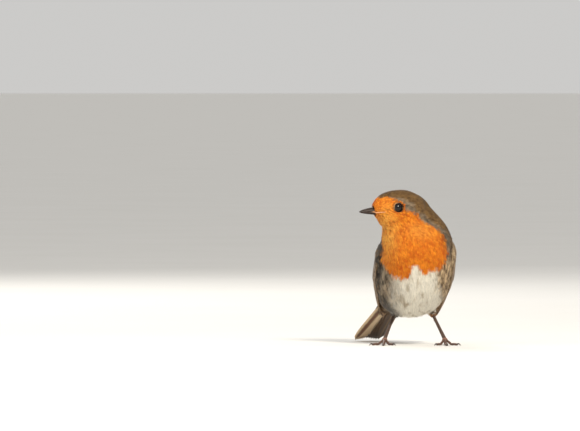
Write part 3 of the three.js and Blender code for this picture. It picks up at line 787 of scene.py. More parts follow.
# Flanks: long loose feathers under the wings.
coat_piece("flanks", "belly_feathers", 16, fixed(0.86), length=fixed(9.5), width=fixed(4.2),
           depth=fixed(1.3), barbs=26, barb_width=0.18, rise=0.6)

# Back: flat and close, down to the rump.
coat_piece("back", "back_feathers", 17, fixed(0.85), length=fixed(7.0), width=fixed(4.0),
           depth=fixed(1.1), barbs=26, barb_width=0.17)

# Rump, down to the tail's root.
coat_piece("rump", "back_feathers", 18, fixed(0.95), length=fixed(8.5), width=fixed(4.4),
           depth=fixed(1.1), barbs=26, barb_width=0.18)


def only(points, **strengths):
    """The named markings at these strengths, and none of the others."""
    names = ("bib", "slate", "pale", "flank", "dusk", "throat", "shade")
    marks = {key: np.zeros(len(points)) for key in names}
    for key, strength in strengths.items():
        marks[key] = marks[key] + strength
    return marks


def thigh_marks(points):
    """Warm buff on the bird's left thigh, painted shade on its right one, under the wing's shadow."""
    left = ramp(points[:, 0], -3, 3)
    high = ramp(points[:, 2], 18, 23)
    return only(points, bib=0.3 * left, pale=0.7 * high * left, flank=0.8 * left,
                shade=0.6 * ramp(points[:, 0], 2, -4))


# Thighs: short, down to the bare tarsus.
coat_piece("thighs", "belly_feathers", 19, fixed(0.55), length=fixed(3.2), width=fixed(1.8),
           depth=fixed(0.5), barbs=14, barb_width=0.14, marks_of=thigh_marks)

# Where the wings and the tail join the body, longer feathers bridge the grooves: scapulars over
# a wing's upper edge, flank feathers over its front and lower edge, and coverts round the tail.
BRIDGE = 0.0007
BRIDGE_SOFTENING = 36
WING_NODES = [f"wing_{side}_{part}" for side in SIDES for part in ("coverts", "secondaries", "primaries")]
bridged = Surface(*hide(FLESH + WING_NODES + ["tail"], BRIDGE, BRIDGE_SOFTENING))


def wing_place(points):
    """How far points lie along a wing from its wrist, above its upper edge and below its lower."""
    away = points - WRIST
    along, across = away @ WING_ALONG, away @ WING_ACROSS
    share = along / WING_LENGTH
    return (along, across - flowing(WING_SHARES, WING_UPPER, share),
            flowing(WING_SHARES, WING_LOWER, share) - across)


def down_wing(points, normals):
    """Along the folded wing, towards its tip."""
    return laid_flat(np.broadcast_to(WING_ALONG, points.shape), normals)


def over_upper_edge(points):
    """Where the scapulars are rooted: along the groove between a wing's upper edge and the back."""
    along, above, _ = wing_place(points)
    over = -2.5 - 2.5 * ramp(along, 28, 16)
    return (along > -1) & (along < 36) & (above > over) & (above < 5) & (outward(points) > 5)


def back_marks(points):
    """Plain olive brown."""
    none = np.zeros(len(points))
    return dict(markings(points), bib=none, pale=none, flank=none, dusk=none, shade=none)


def over_lower_edge(points):
    """Where feathers close over a wing's front and the first part of its lower edge."""
    along, above, below = wing_place(points)
    beside = (below > -1.2) & (below < 4.5) & (along > -2) & (along < 24)
    in_front = (along > -5) & (along < 0.5) & (above < 2) & (below < 5)
    return (beside | in_front) & (outward(points) > 14)


def edge_marks(points):
    """Markings, with pale and dark feathers mixed along the wing's front edge; on the right wing, painted
    shade.
    """
    marks = markings(points)
    on_body = ramp(outward(points), 21.6, 20.2)
    marks["bib"] = marks["bib"] * on_body
    streaks = ramp(points[:, 2], 64, 58) * (1 - marks["bib"])
    marks["pale"] = marks["pale"] * (1 - streaks)
    marks["flank"] = np.maximum(marks["flank"], streaks * ramp(points[:, 0], -4, 8))
    marks["dusk"] = np.maximum(marks["dusk"], 0.35 * streaks * ramp(points[:, 0], 8, -4))
    marks["slate"] = np.maximum(marks["slate"], 0.5 * (1 - on_body)) * (1 - marks["bib"])
    # painted shade over the front of the bird's right wing
    marks["shade"] = np.maximum(marks["shade"], 0.9 * ramp(points[:, 0], -14, -19.5) * (1 - marks["bib"]))
    return marks


TAIL_ROOT = np.array([-9.5, 39.5, 31.2])
TAIL_TIP = np.array([-28.7, 85.5, 1.9])
TAIL_ALONG = unit(TAIL_TIP - TAIL_ROOT)
TAIL_ACROSS = unit(np.cross(TAIL_ALONG, [0, 0, 1]))
TAIL_UP = np.cross(TAIL_ACROSS, TAIL_ALONG)
SLEEVE_RUN = [-8, -4, 0, 4, 8, 14, 20, 26]
SLEEVE_HALF = [14.8, 12.8, 10.8, 9.3, 8.3, 7.5, 7.3, 7.6]
SLEEVE_TOP = [7.4, 6.4, 5.6, 4.8, 4.0, 2.7, 1.5, 0.7]
SLEEVE_FOOT = [-19.0, -15.2, -11.8, -8.8, -6.8, -4.9, -3.6, -2.9]


def down_tail(points, normals):
    """Along the tail."""
    return laid_flat(np.broadcast_to(TAIL_ALONG, points.shape), normals)


def mesh_surface(rings):
    """A surface from rows of points round it."""
    quads = []
    rows, columns = rings.shape[:2]
    for row in range(rows - 1):
        for column in range(columns):
            beside = (column + 1) % columns
            quads.append([row * columns + column, row * columns + beside,
                          (row + 1) * columns + beside, (row + 1) * columns + column])
    holder = bmesh.new()
    spare = bpy.data.meshes.new("spare")
    spare.from_pydata(rings.reshape(-1, 3).tolist(), [], quads)
    holder.from_mesh(spare)
    bmesh.ops.remove_doubles(holder, verts=holder.verts, dist=1e-5)
    bmesh.ops.triangulate(holder, faces=holder.faces)
    bmesh.ops.recalc_face_normals(holder, faces=holder.faces)
    holder.normal_update()
    made = Surface(np.array([v.co[:] for v in holder.verts]), np.array([v.normal[:] for v in holder.verts]),
                   np.array([[v.index for v in f.verts] for f in holder.faces]))
    holder.free()
    bpy.data.meshes.remove(spare)
    return made


def tail_sleeve():
    """The surface on which the coverts narrow from the rump to the tail."""
    run = np.linspace(SLEEVE_RUN[0], SLEEVE_RUN[-1], 40)[:, None]
    turn = np.linspace(0, 2 * math.pi, 48, endpoint=False)[None]
    top, foot = flowing(SLEEVE_RUN, SLEEVE_TOP, run), flowing(SLEEVE_RUN, SLEEVE_FOOT, run)
    across = flowing(SLEEVE_RUN, SLEEVE_HALF, run) * np.sign(np.cos(turn)) * np.abs(np.cos(turn)) ** 0.8
    height = (top + foot) / 2 + (top - foot) / 2 * np.sin(turn)
    rings = (TAIL_ROOT + TAIL_ALONG * run[..., None] + TAIL_ACROSS * across[..., None]
             + TAIL_UP * height[..., None])
    return mesh_surface(rings)


def covert_marks(points):
    """Olive brown above the tail, pale buff below it."""
    up = (points - TAIL_ROOT) @ TAIL_UP
    under = ramp(up + 0.25 * ((points - TAIL_ROOT) @ TAIL_ALONG), 1.5, -2.5)
    return only(points, slate=0.3 * (1 - under), pale=0.35 * under, flank=0.8 * under, shade=0.12)


scapular_roots = scatter(bridged, over_upper_edge, fixed(0.8), 21)
feathers("scapulars", scapular_roots, bridged, down_wing, coat, "back_feathers", 21, length=fixed(9.5),
         width=fixed(4.6), depth=fixed(0.7), barbs=26, barb_width=0.19, rise=0.35, marks_of=back_marks)

front_roots = scatter(bridged, over_lower_edge, fixed(0.8), 22)
feathers("wing_front_feathers", front_roots, bridged, down_wing, coat, "belly_feathers", 22,
         length=fixed(7.5), width=fixed(3.4), depth=fixed(0.6), barbs=24, barb_width=0.17, rise=0.4,
         marks_of=edge_marks)

COVERTS_END = 13  # how far down the tail its coverts are rooted
sleeve = tail_sleeve()
covert_roots = scatter(sleeve, lambda points: (points - TAIL_ROOT) @ TAIL_ALONG < COVERTS_END,
                       fixed(0.95), 23)
covert_roots = covert_roots[~under_a_wing(covert_roots, 0)]
feathers("tail_coverts", covert_roots, sleeve, down_tail, coat, "back_feathers", 23,
         length=fixed(11.5), width=fixed(4.0), depth=fixed(0.5), barbs=26, barb_width=0.19, rise=0.2,
         marks_of=covert_marks)


# ---------------------------------------------------------------- eyes
# Large dark eyeballs, deep in the head, each in a thin dark lid with a ring of tiny pale
# orange feathers round it.
EYE_RADIUS = 3.3
EYE_SEAT = 0.5  # how much deeper the balls sit than their sockets' middles
LID_TURN = [0, -1.2, -1.0, 1.4, 5, 9, 15, 27, 27, 9]  # degrees out from the opening, round the band
LID_OUT = [-0.03, 0.06, 0.17, 0.22, 0.17, 0.15, 0.14, 0.3, -0.3, -0.3]  # and how far off the ball
RING_FEATHERS = 420
RING_SEED = 43
BALL_ROWS = 33
BALL_SIDES = 48


def rings_mesh(rings):
    """Faces between rows of points of one length, each row closed into a ring."""
    rows, columns = rings.shape[:2]
    near = np.arange(rows - 1)[:, None] * columns + np.arange(columns)[None]
    beside = near + 1
    beside[:, -1] -= columns
    return np.stack([near, beside, beside + columns, near + columns], 2).reshape(-1, 4)


eye_finish = new_material("eye_black", Roughness=0.03, Specular_IOR_Level=0.36)
iris = mixed(eye_finish, mark(eye_finish, "iris"), linear(3, 2, 2), linear(30, 15, 8))
iris = mixed(eye_finish, remap(eye_finish, noise(eye_finish, 3000, 2), 0.3, 0.7), iris, linear(6, 4, 3))
paint(eye_finish, Base_Color=iris)

lid_finish = new_material("lid_skin", Roughness=0.5, Specular_IOR_Level=0.4)
lid_rim = mixed(lid_finish, noise(lid_finish, 2500), linear(18, 13, 11), linear(52, 38, 30))
lid_down = mixed(lid_finish, noise(lid_finish, 1500), linear(190, 98, 34), linear(232, 150, 82))
paint(lid_finish, Base_Color=mixed(lid_finish, mark(lid_finish, "feathered"), lid_rim, lid_down))
bumped(lid_finish, noise(lid_finish, 5000), 0.0001)

for side, sign in SIDES.items():
    out = HEAD_LEFT * sign
    middle = eye_middles[side] - out * EYE_SEAT
    turn = np.linspace(0, math.pi, BALL_ROWS)[:, None]
    around = np.linspace(0, 2 * math.pi, BALL_SIDES, endpoint=False)[None]
    bulge = 1 + 0.012 * np.clip(np.cos(turn), 0, 1) ** 4  # the clear front stands out a little
    ball = (np.cos(turn)[..., None] * out * 0.94 + (np.sin(turn) * np.cos(around))[..., None] * HEAD_AHEAD
            + (np.sin(turn) * np.sin(around))[..., None] * UP * 0.98)
    ball = middle + ball * EYE_RADIUS * bulge[..., None]
    angle = np.broadcast_to(np.degrees(turn), (BALL_ROWS, BALL_SIDES)).ravel()
    shown = ramp(angle, 24, 27) * ramp(angle, 46, 40)
    piece(f"eyeball_{side}", ball.reshape(-1, 3), rings_mesh(ball), eye_finish,
          {"iris": shown}, replaces=[f"eye_{side}"])

    # the lid: a band over the ball, with a thick rim and a little more open at its two corners
    lid_around = np.linspace(0, 2 * math.pi, 65)[:, None]
    opening = math.degrees(math.asin(EYE_OPENING / EYE_RADIUS))
    lid_turn = np.radians(opening + np.array(LID_TURN)[None] + 3 * np.abs(np.cos(lid_around)) ** 8)
    lid_out = EYE_RADIUS + np.array(LID_OUT)[None] * np.ones_like(lid_around)
    lid = (middle + out * (lid_out * np.cos(lid_turn) * 0.94)[..., None]
           + HEAD_AHEAD * (lid_out * np.sin(lid_turn) * np.cos(lid_around))[..., None]
           + UP * (lid_out * np.sin(lid_turn) * 0.98 * np.sin(lid_around))[..., None])
    feathered = np.broadcast_to(ramp(np.array(LID_TURN), 2.5, 8)[None], lid.shape[:2])
    piece(f"lid_{side}", lid.reshape(-1, 3), rings_mesh(lid), lid_finish,
          {"feathered": feathered.ravel()})
    lid_surface = mesh_surface(lid)

    # the ring: tiny feathers on the lid's band, lying away from the eye
    dice = np.random.default_rng(40 + sign)
    ring_around = np.linspace(0, 2 * math.pi, RING_FEATHERS, endpoint=False)
    ring_around = ring_around + dice.normal(0, 0.02, RING_FEATHERS)
    ring_turn = np.radians(opening + dice.uniform(4, 14, RING_FEATHERS))
    ring_roots = (middle + out * (EYE_RADIUS * np.cos(ring_turn))[:, None]
                  + HEAD_AHEAD * (EYE_RADIUS * np.sin(ring_turn) * np.cos(ring_around))[:, None]
                  + UP * (EYE_RADIUS * np.sin(ring_turn) * np.sin(ring_around))[:, None])

    def from_eye(points, normals, middle=middle, out=out):
        """Away from the eye, swept back a little."""
        away = points - middle
        away = unit(away - np.outer(away @ out, out)) - HEAD_AHEAD * 0.3
        return laid_flat(away, normals)

    def ring_marks(points):
        """Pale orange, a little lighter than the face."""
        rest = markings(points)
        rest["bib"] = np.full(len(points), 0.88)
        rest["pale"] = rest["throat"] = np.ones(len(points))
        rest["shade"] = np.zeros(len(points))
        return rest

    feathers(f"eye_ring_{side}", ring_roots, lid_surface, from_eye, coat, "face_feathers", RING_SEED,
             length=fixed(0.8), width=fixed(0.42), depth=fixed(-0.03), barbs=8, barb_width=0.07, rise=0.02,
             marks_of=ring_marks)

# ---------------------------------------------------------------- bill
# A fine dark bill of two horn halves that meet in a thin line, with nostrils near its base and
# pale soft lips where the line runs back into the face.
BILL_AHEAD = [10.2, 11.2, 13.4, 15.6, 18.0, 20.2, 21.8, 22.6]
BILL_HALF = [2.3, 2.3, 2.2, 1.8, 1.35, 0.9, 0.5, 0.14]
BILL_RISE = [2.7, 2.7, 2.7, 2.35, 1.85, 1.25, 0.62, 0.1]
BILL_DROP = [1.8, 1.9, 1.9, 1.65, 1.4, 1.05, 0.6, 0.16]
BILL_LINE = -2.6  # the parting line, below the eyes' middle
NOSTRIL_AHEAD = 13.3
BILL_ROWS = 44
TROUGH_SIDES = 9

bill_finish = new_material("bill_horn", Roughness=0.42, Specular_IOR_Level=0.3)
horn = mixed(bill_finish, noise(bill_finish, 700, 4, (1, 1, 4)), linear(17, 11, 7), linear(60, 41, 29))
horn = mixed(bill_finish, mark(bill_finish, "lip"), horn, linear(214, 160, 120))
# painted shade: the nostrils' dents are drawn near-black, as the holes in them are dark
horn = mixed(bill_finish, mark(bill_finish, "pit"), horn, linear(10, 7, 6))
paint(bill_finish, Base_Color=horn)
bumped(bill_finish, noise(bill_finish, 1800, 3, (1, 1, 3)), 0.00012)

for name, up in (("upper", 1), ("lower", -1)):
    ahead = np.linspace(BILL_AHEAD[0], BILL_AHEAD[-1], BILL_ROWS)[:, None]
    half = flowing(BILL_AHEAD, BILL_HALF, ahead)
    rise = flowing(BILL_AHEAD, BILL_RISE if up > 0 else BILL_DROP, ahead)
    turn = np.linspace(-math.pi / 2, math.pi / 2, 25)[None]
    arch = np.clip(np.cos(turn), 0, 1) ** 0.8 + 0.08 * np.exp(-((turn / 0.25) ** 2)) * up
    left = half * np.sin(turn)
    height = up * rise * arch * 0.96
    dent = np.exp(-((ahead - NOSTRIL_AHEAD) / 0.85) ** 2 - ((np.abs(turn) - 0.85) / 0.2) ** 2) * (up > 0)
    left = left * (1 - 0.22 * dent)
    height = height - 0.3 * dent
    # the underside of each half is a shallow trough along the parting line
    trough_left = half * np.linspace(1, -1, TROUGH_SIDES)[None][:, 1:-1] * 0.98
    trough_up = np.zeros_like(trough_left) + up * 0.05
    left = np.concatenate([left, trough_left], 1)
    height = np.concatenate([height, trough_up], 1) + BILL_LINE + up * 0.03
    rings = (HEAD + HEAD_AHEAD * ahead[..., None] + HEAD_LEFT * left[..., None]
             + UP * height[..., None])
    near_line = ramp(np.abs(height - BILL_LINE), 0.5, 0.1) * ramp(ahead, 16, 12.5)
    pit = np.concatenate([dent, np.zeros_like(trough_left)], 1)
    rings = np.concatenate([rings, rings[-1:].mean(1, keepdims=True).repeat(rings.shape[1], 1)])
    near_line = np.concatenate([near_line, near_line[-1:] * 0])
    pit = np.concatenate([pit, pit[-1:] * 0])
    piece(f"horn_{name}", rings.reshape(-1, 3), rings_mesh(rings), bill_finish,
          {"lip": near_line.ravel(), "pit": pit.ravel()}, replaces=[f"bill_{name}"])


def line_through(points, count):
    """A smooth line of evenly shared places through a few points."""
    points = np.asarray(points, float)
    run = np.concatenate([[0], np.cumsum(np.linalg.norm(np.diff(points, axis=0), axis=1))])
    at = np.linspace(0, run[-1], count)
    return np.stack([flowing(run, points[:, axis], at) for axis in range(3)], 1), at / run[-1]


def tube(points, radii, sides):
    """Rings of points round a line, one at each of its points, drawn to a point at each end."""
    points = np.asarray(points, float)
    along = unit(np.gradient(points, axis=0))
    across = np.array([1.0, 0, 0]) if abs(along[0][0]) < 0.8 else UP
    rows = []
    turn = np.linspace(0, 2 * math.pi, sides, endpoint=False)
    for point, way, radius in zip(points, along, radii):
        across = unit(across - way * (across @ way))
        other = np.cross(way, across)
        rows.append(point + radius * (np.cos(turn)[:, None] * across + np.sin(turn)[:, None] * other))
    return np.stack([np.repeat(points[:1], sides, 0)] + rows + [np.repeat(points[-1:], sides, 0)])


lip_finish = new_material("gape_skin", Roughness=0.45, Specular_IOR_Level=0.4)
lip_tint = mixed(lip_finish, noise(lip_finish, 1500), linear(204, 132, 84), linear(238, 186, 136))
paint(lip_finish, Base_Color=lip_tint)
bumped(lip_finish, noise(lip_finish, 4000), 0.0001)
bristle_finish = new_material("bristle_horn", Roughness=0.4)
bristle_tint = mixed(bristle_finish, noise(bristle_finish, 2000), linear(22, 16, 12), linear(60, 44, 32))
paint(bristle_finish, Base_Color=bristle_tint)
bumped(bristle_finish, noise(bristle_finish, 5000), 0.00005)

# The bare skin round the bill's base, under the only feathers that point forward.
COLLAR = in_head(9.7, 0, -1.85)
COLLAR_SIZE = (1.7, 2.75, 2.75)
slope = np.linspace(0, math.pi, 15)[:, None]
around = np.linspace(0, 2 * math.pi, 28, endpoint=False)[None]
collar = (COLLAR + HEAD_AHEAD * (COLLAR_SIZE[0] * np.cos(slope) * np.ones_like(around))[..., None]
          + HEAD_LEFT * (COLLAR_SIZE[1] * np.sin(slope) * np.cos(around))[..., None]
          + UP * (COLLAR_SIZE[2] * np.sin(slope) * np.sin(around))[..., None])
piece("bill_collar", collar.reshape(-1, 3), rings_mesh(collar), lid_finish,
      {"feathered": np.full(collar.shape[0] * collar.shape[1], 0.6)})
collar_surface = mesh_surface(collar)


def over_bill(points):
    """The collar's rim, above and beside the bill."""
    ahead, left, up = head_axes(points)
    return (ahead > 8.9) & (up > -2.2) & (np.hypot(left, up - BILL_LINE) > 2.2)


def forwards(points, normals):
    """Ahead over the bill's base."""
    return unit(np.broadcast_to(HEAD_AHEAD, points.shape) + normals * 0.25)


BRISTLES = 7
LIP_STEPS = 20

nasal_roots = scatter(collar_surface, over_bill, fixed(0.24), 66)
feathers("nasal_feathers", nasal_roots, collar_surface, forwards, coat, "face_feathers", 67,
         length=fixed(1.5), width=fixed(0.8), depth=fixed(-0.15), barbs=10, barb_width=0.09, rise=0.1)

for side, sign in SIDES.items():
    # the lips, from the bill's edge back to the corner of the mouth
    guide, _ = line_through([in_head(14.2, sign * 1.9, BILL_LINE),
                             in_head(12.6, sign * 3.0, BILL_LINE - 0.3),
                             in_head(11.2, sign * 4.6, BILL_LINE - 0.3),
                             in_head(7.6, sign * 6.9, BILL_LINE - 0.1)], LIP_STEPS)
    share = np.linspace(0, 1, LIP_STEPS)
    seat, seat_up = body.settle(guide)
    blend = ramp(share, 0.05, 0.3)[:, None]
    lip_line = guide * (1 - blend) + (seat + seat_up * 0.22) * blend
    lip = tube(lip_line, 0.3 * np.sin(np.pi * (0.12 + 0.86 * share)) ** 0.6, 8)
    piece(f"gape_{side}", lip.reshape(-1, 3), rings_mesh(lip), lip_finish)

    # the bristles over the gape
    dice = np.random.default_rng(60 + sign)
    rows, faces, count = [], [], 0
    for index in range(BRISTLES):
        root = in_head(11.2 - 0.55 * index, sign * (2.3 + 0.42 * index), BILL_LINE + 0.9 - 0.12 * index)
        seat, seat_up = body.settle(root[None])
        way = unit(HEAD_AHEAD * 0.75 + HEAD_LEFT * sign * 0.55 + np.array([0, 0, -0.3 - 0.1 * index]))
        share = np.linspace(0, 1, 7)[:, None]
        size = 2.0 + 0.8 * dice.random()
        droop = np.array([0, 0, 0.5]) * share**2 * size * 0.5
        line = seat + seat_up * 0.1 + way * share * size - droop
        ring = tube(line, 0.055 * (1 - 0.85 * share[:, 0]), 5)
        faces.append(rings_mesh(ring) + count)
        rows.append(ring.reshape(-1, 3))
        count += len(rows[-1])
    piece(f"bristles_{side}", np.concatenate(rows), np.concatenate(faces), bristle_finish)


# ---------------------------------------------------------------- folded wings
# Each wing is a thin pad of bone and skin under rows of feathers that overlap: soft coverts round
# the wrist, larger coverts, then tertials, secondaries and primaries, with dark brown vanes and
# pale buff edges. They are rooted in the pad's rear edge.
def flight_finish(name, dark, light, edge, edge_from=0.62, below=None):
    """Vanes with a pale shaft, fine barbs slanting off it, a paler edge and a paler underside; on the tail,
    painted light.
    """
    made = new_material(name, Roughness=0.5, Specular_IOR_Level=0.35, Sheen_Weight=0.08,
                        Sheen_Roughness=0.5)
    rim, shaft, tone, slant = (mark(made, key) for key in ("rim", "shaft", "tone", "slant"))
    stripes = add(made, "Math", {0: slant, 1: 260.0}, operation="MULTIPLY").outputs[0]
    barbs = add(made, "Math", {0: stripes}, operation="SINE").outputs[0]
    worn = noise(made, 420, 4)
    vane = mixed(made, calculate(made, "ADD", calculate(made, "MULTIPLY", tone, 0.45),
                                 calculate(made, "MULTIPLY", worn, 0.5)), dark, light)
    vane = mixed(made, remap(made, barbs, -1, 1, 0, 0.16), vane, light)
    fringe = calculate(made, "ADD", rim, remap(made, worn, 0.2, 0.8, -0.12, 0.12))
    vane = mixed(made, remap(made, fringe, edge_from, 0.98), vane, edge)
    vane = mixed(made, calculate(made, "MULTIPLY", shaft, 0.7), vane, linear(150, 120, 84))
    if below:
        # the underside: the primaries' own pale colour, and painted light on one half of the tail
        sunlit = mixed(made, remap(made, fringe, 0.25, 0.62), below[0], below[1])
        underside = calculate(made, "MULTIPLY", mark(made, "beneath"), mark(made, "lit"))
        vane = mixed(made, underside, vane, sunlit)
    paint(made, Base_Color=vane)
    bumped(made, add(made, "Math", {0: barbs, 1: 1.0}, operation="ADD").outputs[0], 0.00004)
    return made


def vane_points(place, root, tip, half, lift, bow, dice, tip_round=2.4, narrow=0.55, limits=None):
    """Rows of points of one closed vane, from its root to its tip, and its markings.

    place(along, across, lift) gives a point on the wing or tail; root and tip are (along, across).
    limits(along) gives the lowest and highest across that a vane may reach there.
    """
    steps, sides = 18, 9
    share = np.linspace(0, 1, steps)[:, None]
    across_share = np.linspace(-1, 1, sides)[None]
    girth = (narrow + (1 - narrow) * ramp(share, 0, 0.45)) * np.clip(1 - share**(tip_round * 3), 0, 1) ** 0.5
    girth = np.maximum(girth, 0.03) * half * (1 + 0.015 * dice.normal(size=(steps, 1)))
    along = root[0] + (tip[0] - root[0]) * share
    middle = root[1] + (tip[1] - root[1]) * share + bow * np.sin(math.pi * share)
    # the vane's tip is round: its edge barbs end a little short of the shaft's end
    along = along - 0.16 * half * across_share**2 * ramp(share, 0.1, 0.9) * 3
    lower, upper = middle - girth, middle + girth
    if limits:
        edges = limits(root[0] + (tip[0] - root[0]) * share)
        lower = np.clip(lower, edges[0], edges[1] - 0.8)
        upper = np.clip(upper, lower + 0.5 * girth, edges[1])
    across = lower + (upper - lower) * (across_share + 1) / 2
    height = lift[0] + (lift[1] - lift[0]) * share - 0.08 * across_share**2 * half / 3
    ridge = 0.14 * np.exp(-((across_share / 0.1) ** 2)) * (1 - 0.8 * share)
    thick = 0.22 * (1 - 0.6 * across_share**2) * (1 - 0.5 * share)
    top = place(along, across, height + ridge)
    under = place(along, across, height - thick)
    rings = np.concatenate([top, under[:, ::-1]], 1)
    rings = np.concatenate([rings[:1].mean(1, keepdims=True).repeat(2 * sides, 1), rings,
                            rings[-1:].mean(1, keepdims=True).repeat(2 * sides, 1)])

    def both(values):
        """Markings of the top and the underside, and of the two closing points."""
        values = np.broadcast_to(values, (steps, sides))
        rows = np.concatenate([values, values[:, ::-1]], 1)
        return np.concatenate([rows[:1], rows, rows[-1:]]).ravel()

    size = abs(tip[0] - root[0])
    beneath = np.concatenate([np.zeros((steps, sides)), np.ones((steps, sides))], 1)
    marks = {"rim": both(np.maximum(np.abs(across_share), 0.84 * ramp(share, 0.9, 1.0))),
             "beneath": np.concatenate([beneath[:1], beneath, beneath[-1:]]).ravel(),
             "shaft": both(np.exp(-((across_share / 0.12) ** 2)) * np.ones_like(share)),
             "slant": both(share * size / 10 - np.abs(across_share) * half / 10)}
    return rings, marks


def mix(first, last, part):
    """The value this part of the way from the first to the last."""
    return np.asarray(first, float) * (1 - part) + np.asarray(last, float) * part


def vane_row(place, dice, count, roots, tips, half, lifts, bow=0.0, ease=1.0, **shape):
    """Vanes side by side; roots, tips and lifts are those of the first vane and of the last."""
    made = []
    for index in range(count):
        part = index / (count - 1)
        tip = mix(tips[0], tips[1], part)
        tip[0] = mix(tips[0][0], tips[1][0], part**ease) + dice.normal(0, 0.25)
        made.append(vane_points(place, mix(roots[0], roots[1], part), tip, half,
                                mix(lifts[0], lifts[1], part), bow, dice, **shape))
    return made


def flight_feathers(name, rows, material, replaces=()):
    """One piece from many vanes, each with its own cell in the unwrap."""
    points, faces, marks, unwrap, count = [], [], {}, [], 0
    dice = np.random.default_rng(len(name) * 7)
    cells = int(math.ceil(math.sqrt(len(rows))))
    for index, (rings, made) in enumerate(rows):
        faces.append(rings_mesh(rings) + count)
        points.append(rings.reshape(-1, 3))
        count += len(points[-1])
        for key, values in made.items():
            marks.setdefault(key, []).append(values)
        marks.setdefault("tone", []).append(np.full(len(points[-1]), dice.random()))
        row, column = np.meshgrid(np.arange(rings.shape[0] - 1), np.arange(rings.shape[1]), indexing="ij")
        corners = np.stack([(column + right, row + below)
                            for right, below in ((0, 0), (1, 0), (1, 1), (0, 1))])
        corners = corners.transpose(2, 3, 0, 1) / [rings.shape[1], rings.shape[0] - 1]
        cell = np.array([index % cells, index // cells])
        unwrap.append(((corners * 0.92 + 0.04 + cell) / cells).reshape(-1, 2))
    marks = {key: np.concatenate(values) for key, values in marks.items()}
    return piece(name, np.concatenate(points), np.concatenate(faces), material, marks,
                 np.concatenate(unwrap), replaces=replaces)


primary_finish = flight_finish("primary_vanes", linear(50, 39, 29), linear(100, 79, 57),
                               linear(172, 138, 98), 0.8, (linear(112, 84, 60), linear(206, 168, 128)))
covert_finish = flight_finish("covert_vanes", linear(72, 56, 38), linear(130, 103, 68),
                              linear(172, 138, 94), 0.74)
pad_finish = new_material("wing_pad_down", Roughness=0.8)
pad_tint = mixed(pad_finish, noise(pad_finish, 700, 4), linear(40, 32, 25), linear(78, 62, 46))
paint(pad_finish, Base_Color=pad_tint)
bumped(pad_finish, noise(pad_finish, 2500), 0.0002)

PAD_END = 31.0  # how far down the wing its pad runs
PAD_ROWS = 26
PAD_SIDES = 17


def wing_limits(along):
    """The folded wing's lower and upper edge."""
    return (flowing(WING_SHARES, WING_LOWER, along / WING_LENGTH),
            flowing(WING_SHARES, WING_UPPER, along / WING_LENGTH))


def tertial_limits(along):
    """The same, with room for the tertials to drape over the back."""
    low, top = wing_limits(along)
    return low, top + 0.9


# Each row's number of vanes, its first and last vane's root and tip as (along, across), half a
# vane's width, and how far the first and last vanes' roots and tips are lifted off the wing's face.
PRIMARIES = dict(count=7, roots=[(30, -3.0), (30, -7.2)], tips=[(60, 3.4), (79.5, -0.6)], half=2.8,
                 lifts=[(-1.3, -1.0), (-1.7, -1.9)], bow=-0.5, ease=0.7, tip_round=2.6,
                 limits=wing_limits)
SECONDARIES = dict(count=6, roots=[(27, 5.5), (27, -2.0)], tips=[(51.5, 5.0), (58, 0.8)], half=2.9,
                   lifts=[(-1.1, -0.25), (-1.4, -1.05)], bow=0.6, tip_round=1.5, limits=wing_limits)
TERTIALS = dict(count=3, roots=[(20, 9.6), (20, 6.4)], tips=[(43, 9.2), (54, 5.4)], half=3.4,
                lifts=[(-0.6, 0.45), (-0.9, 0.0)], bow=1.0, tip_round=1.6, narrow=0.3,
                limits=tertial_limits)
PRIMARY_COVERTS = dict(count=6, roots=[(17, -3.6), (17, -6.6)], tips=[(37, -4.2), (40, -7.2)], half=1.5,
                       lifts=[(-0.8, -0.6), (-0.95, -0.8)], bow=-0.3, tip_round=1.5, limits=wing_limits)
GREATER_COVERTS = dict(count=10, roots=[(13.5, 9.6), (13.5, -4.4)], tips=[(31, 9.4), (32.5, -3.6)],
                       half=2.0, lifts=[(-0.6, 0.15), (-0.7, -0.3)], bow=0.4, tip_round=1.2,
                       limits=wing_limits)
ALULA = dict(count=3, roots=[(9, -5.0), (9, -6.4)], tips=[(24, -5.4), (28, -7.8)], half=1.5,
             lifts=[(-0.4, -0.15), (-0.4, -0.3)], bow=-0.3, tip_round=1.3, limits=wing_limits)
UNDERSIDE_LIT = 0.8  # how much of the primaries' pale underside shows

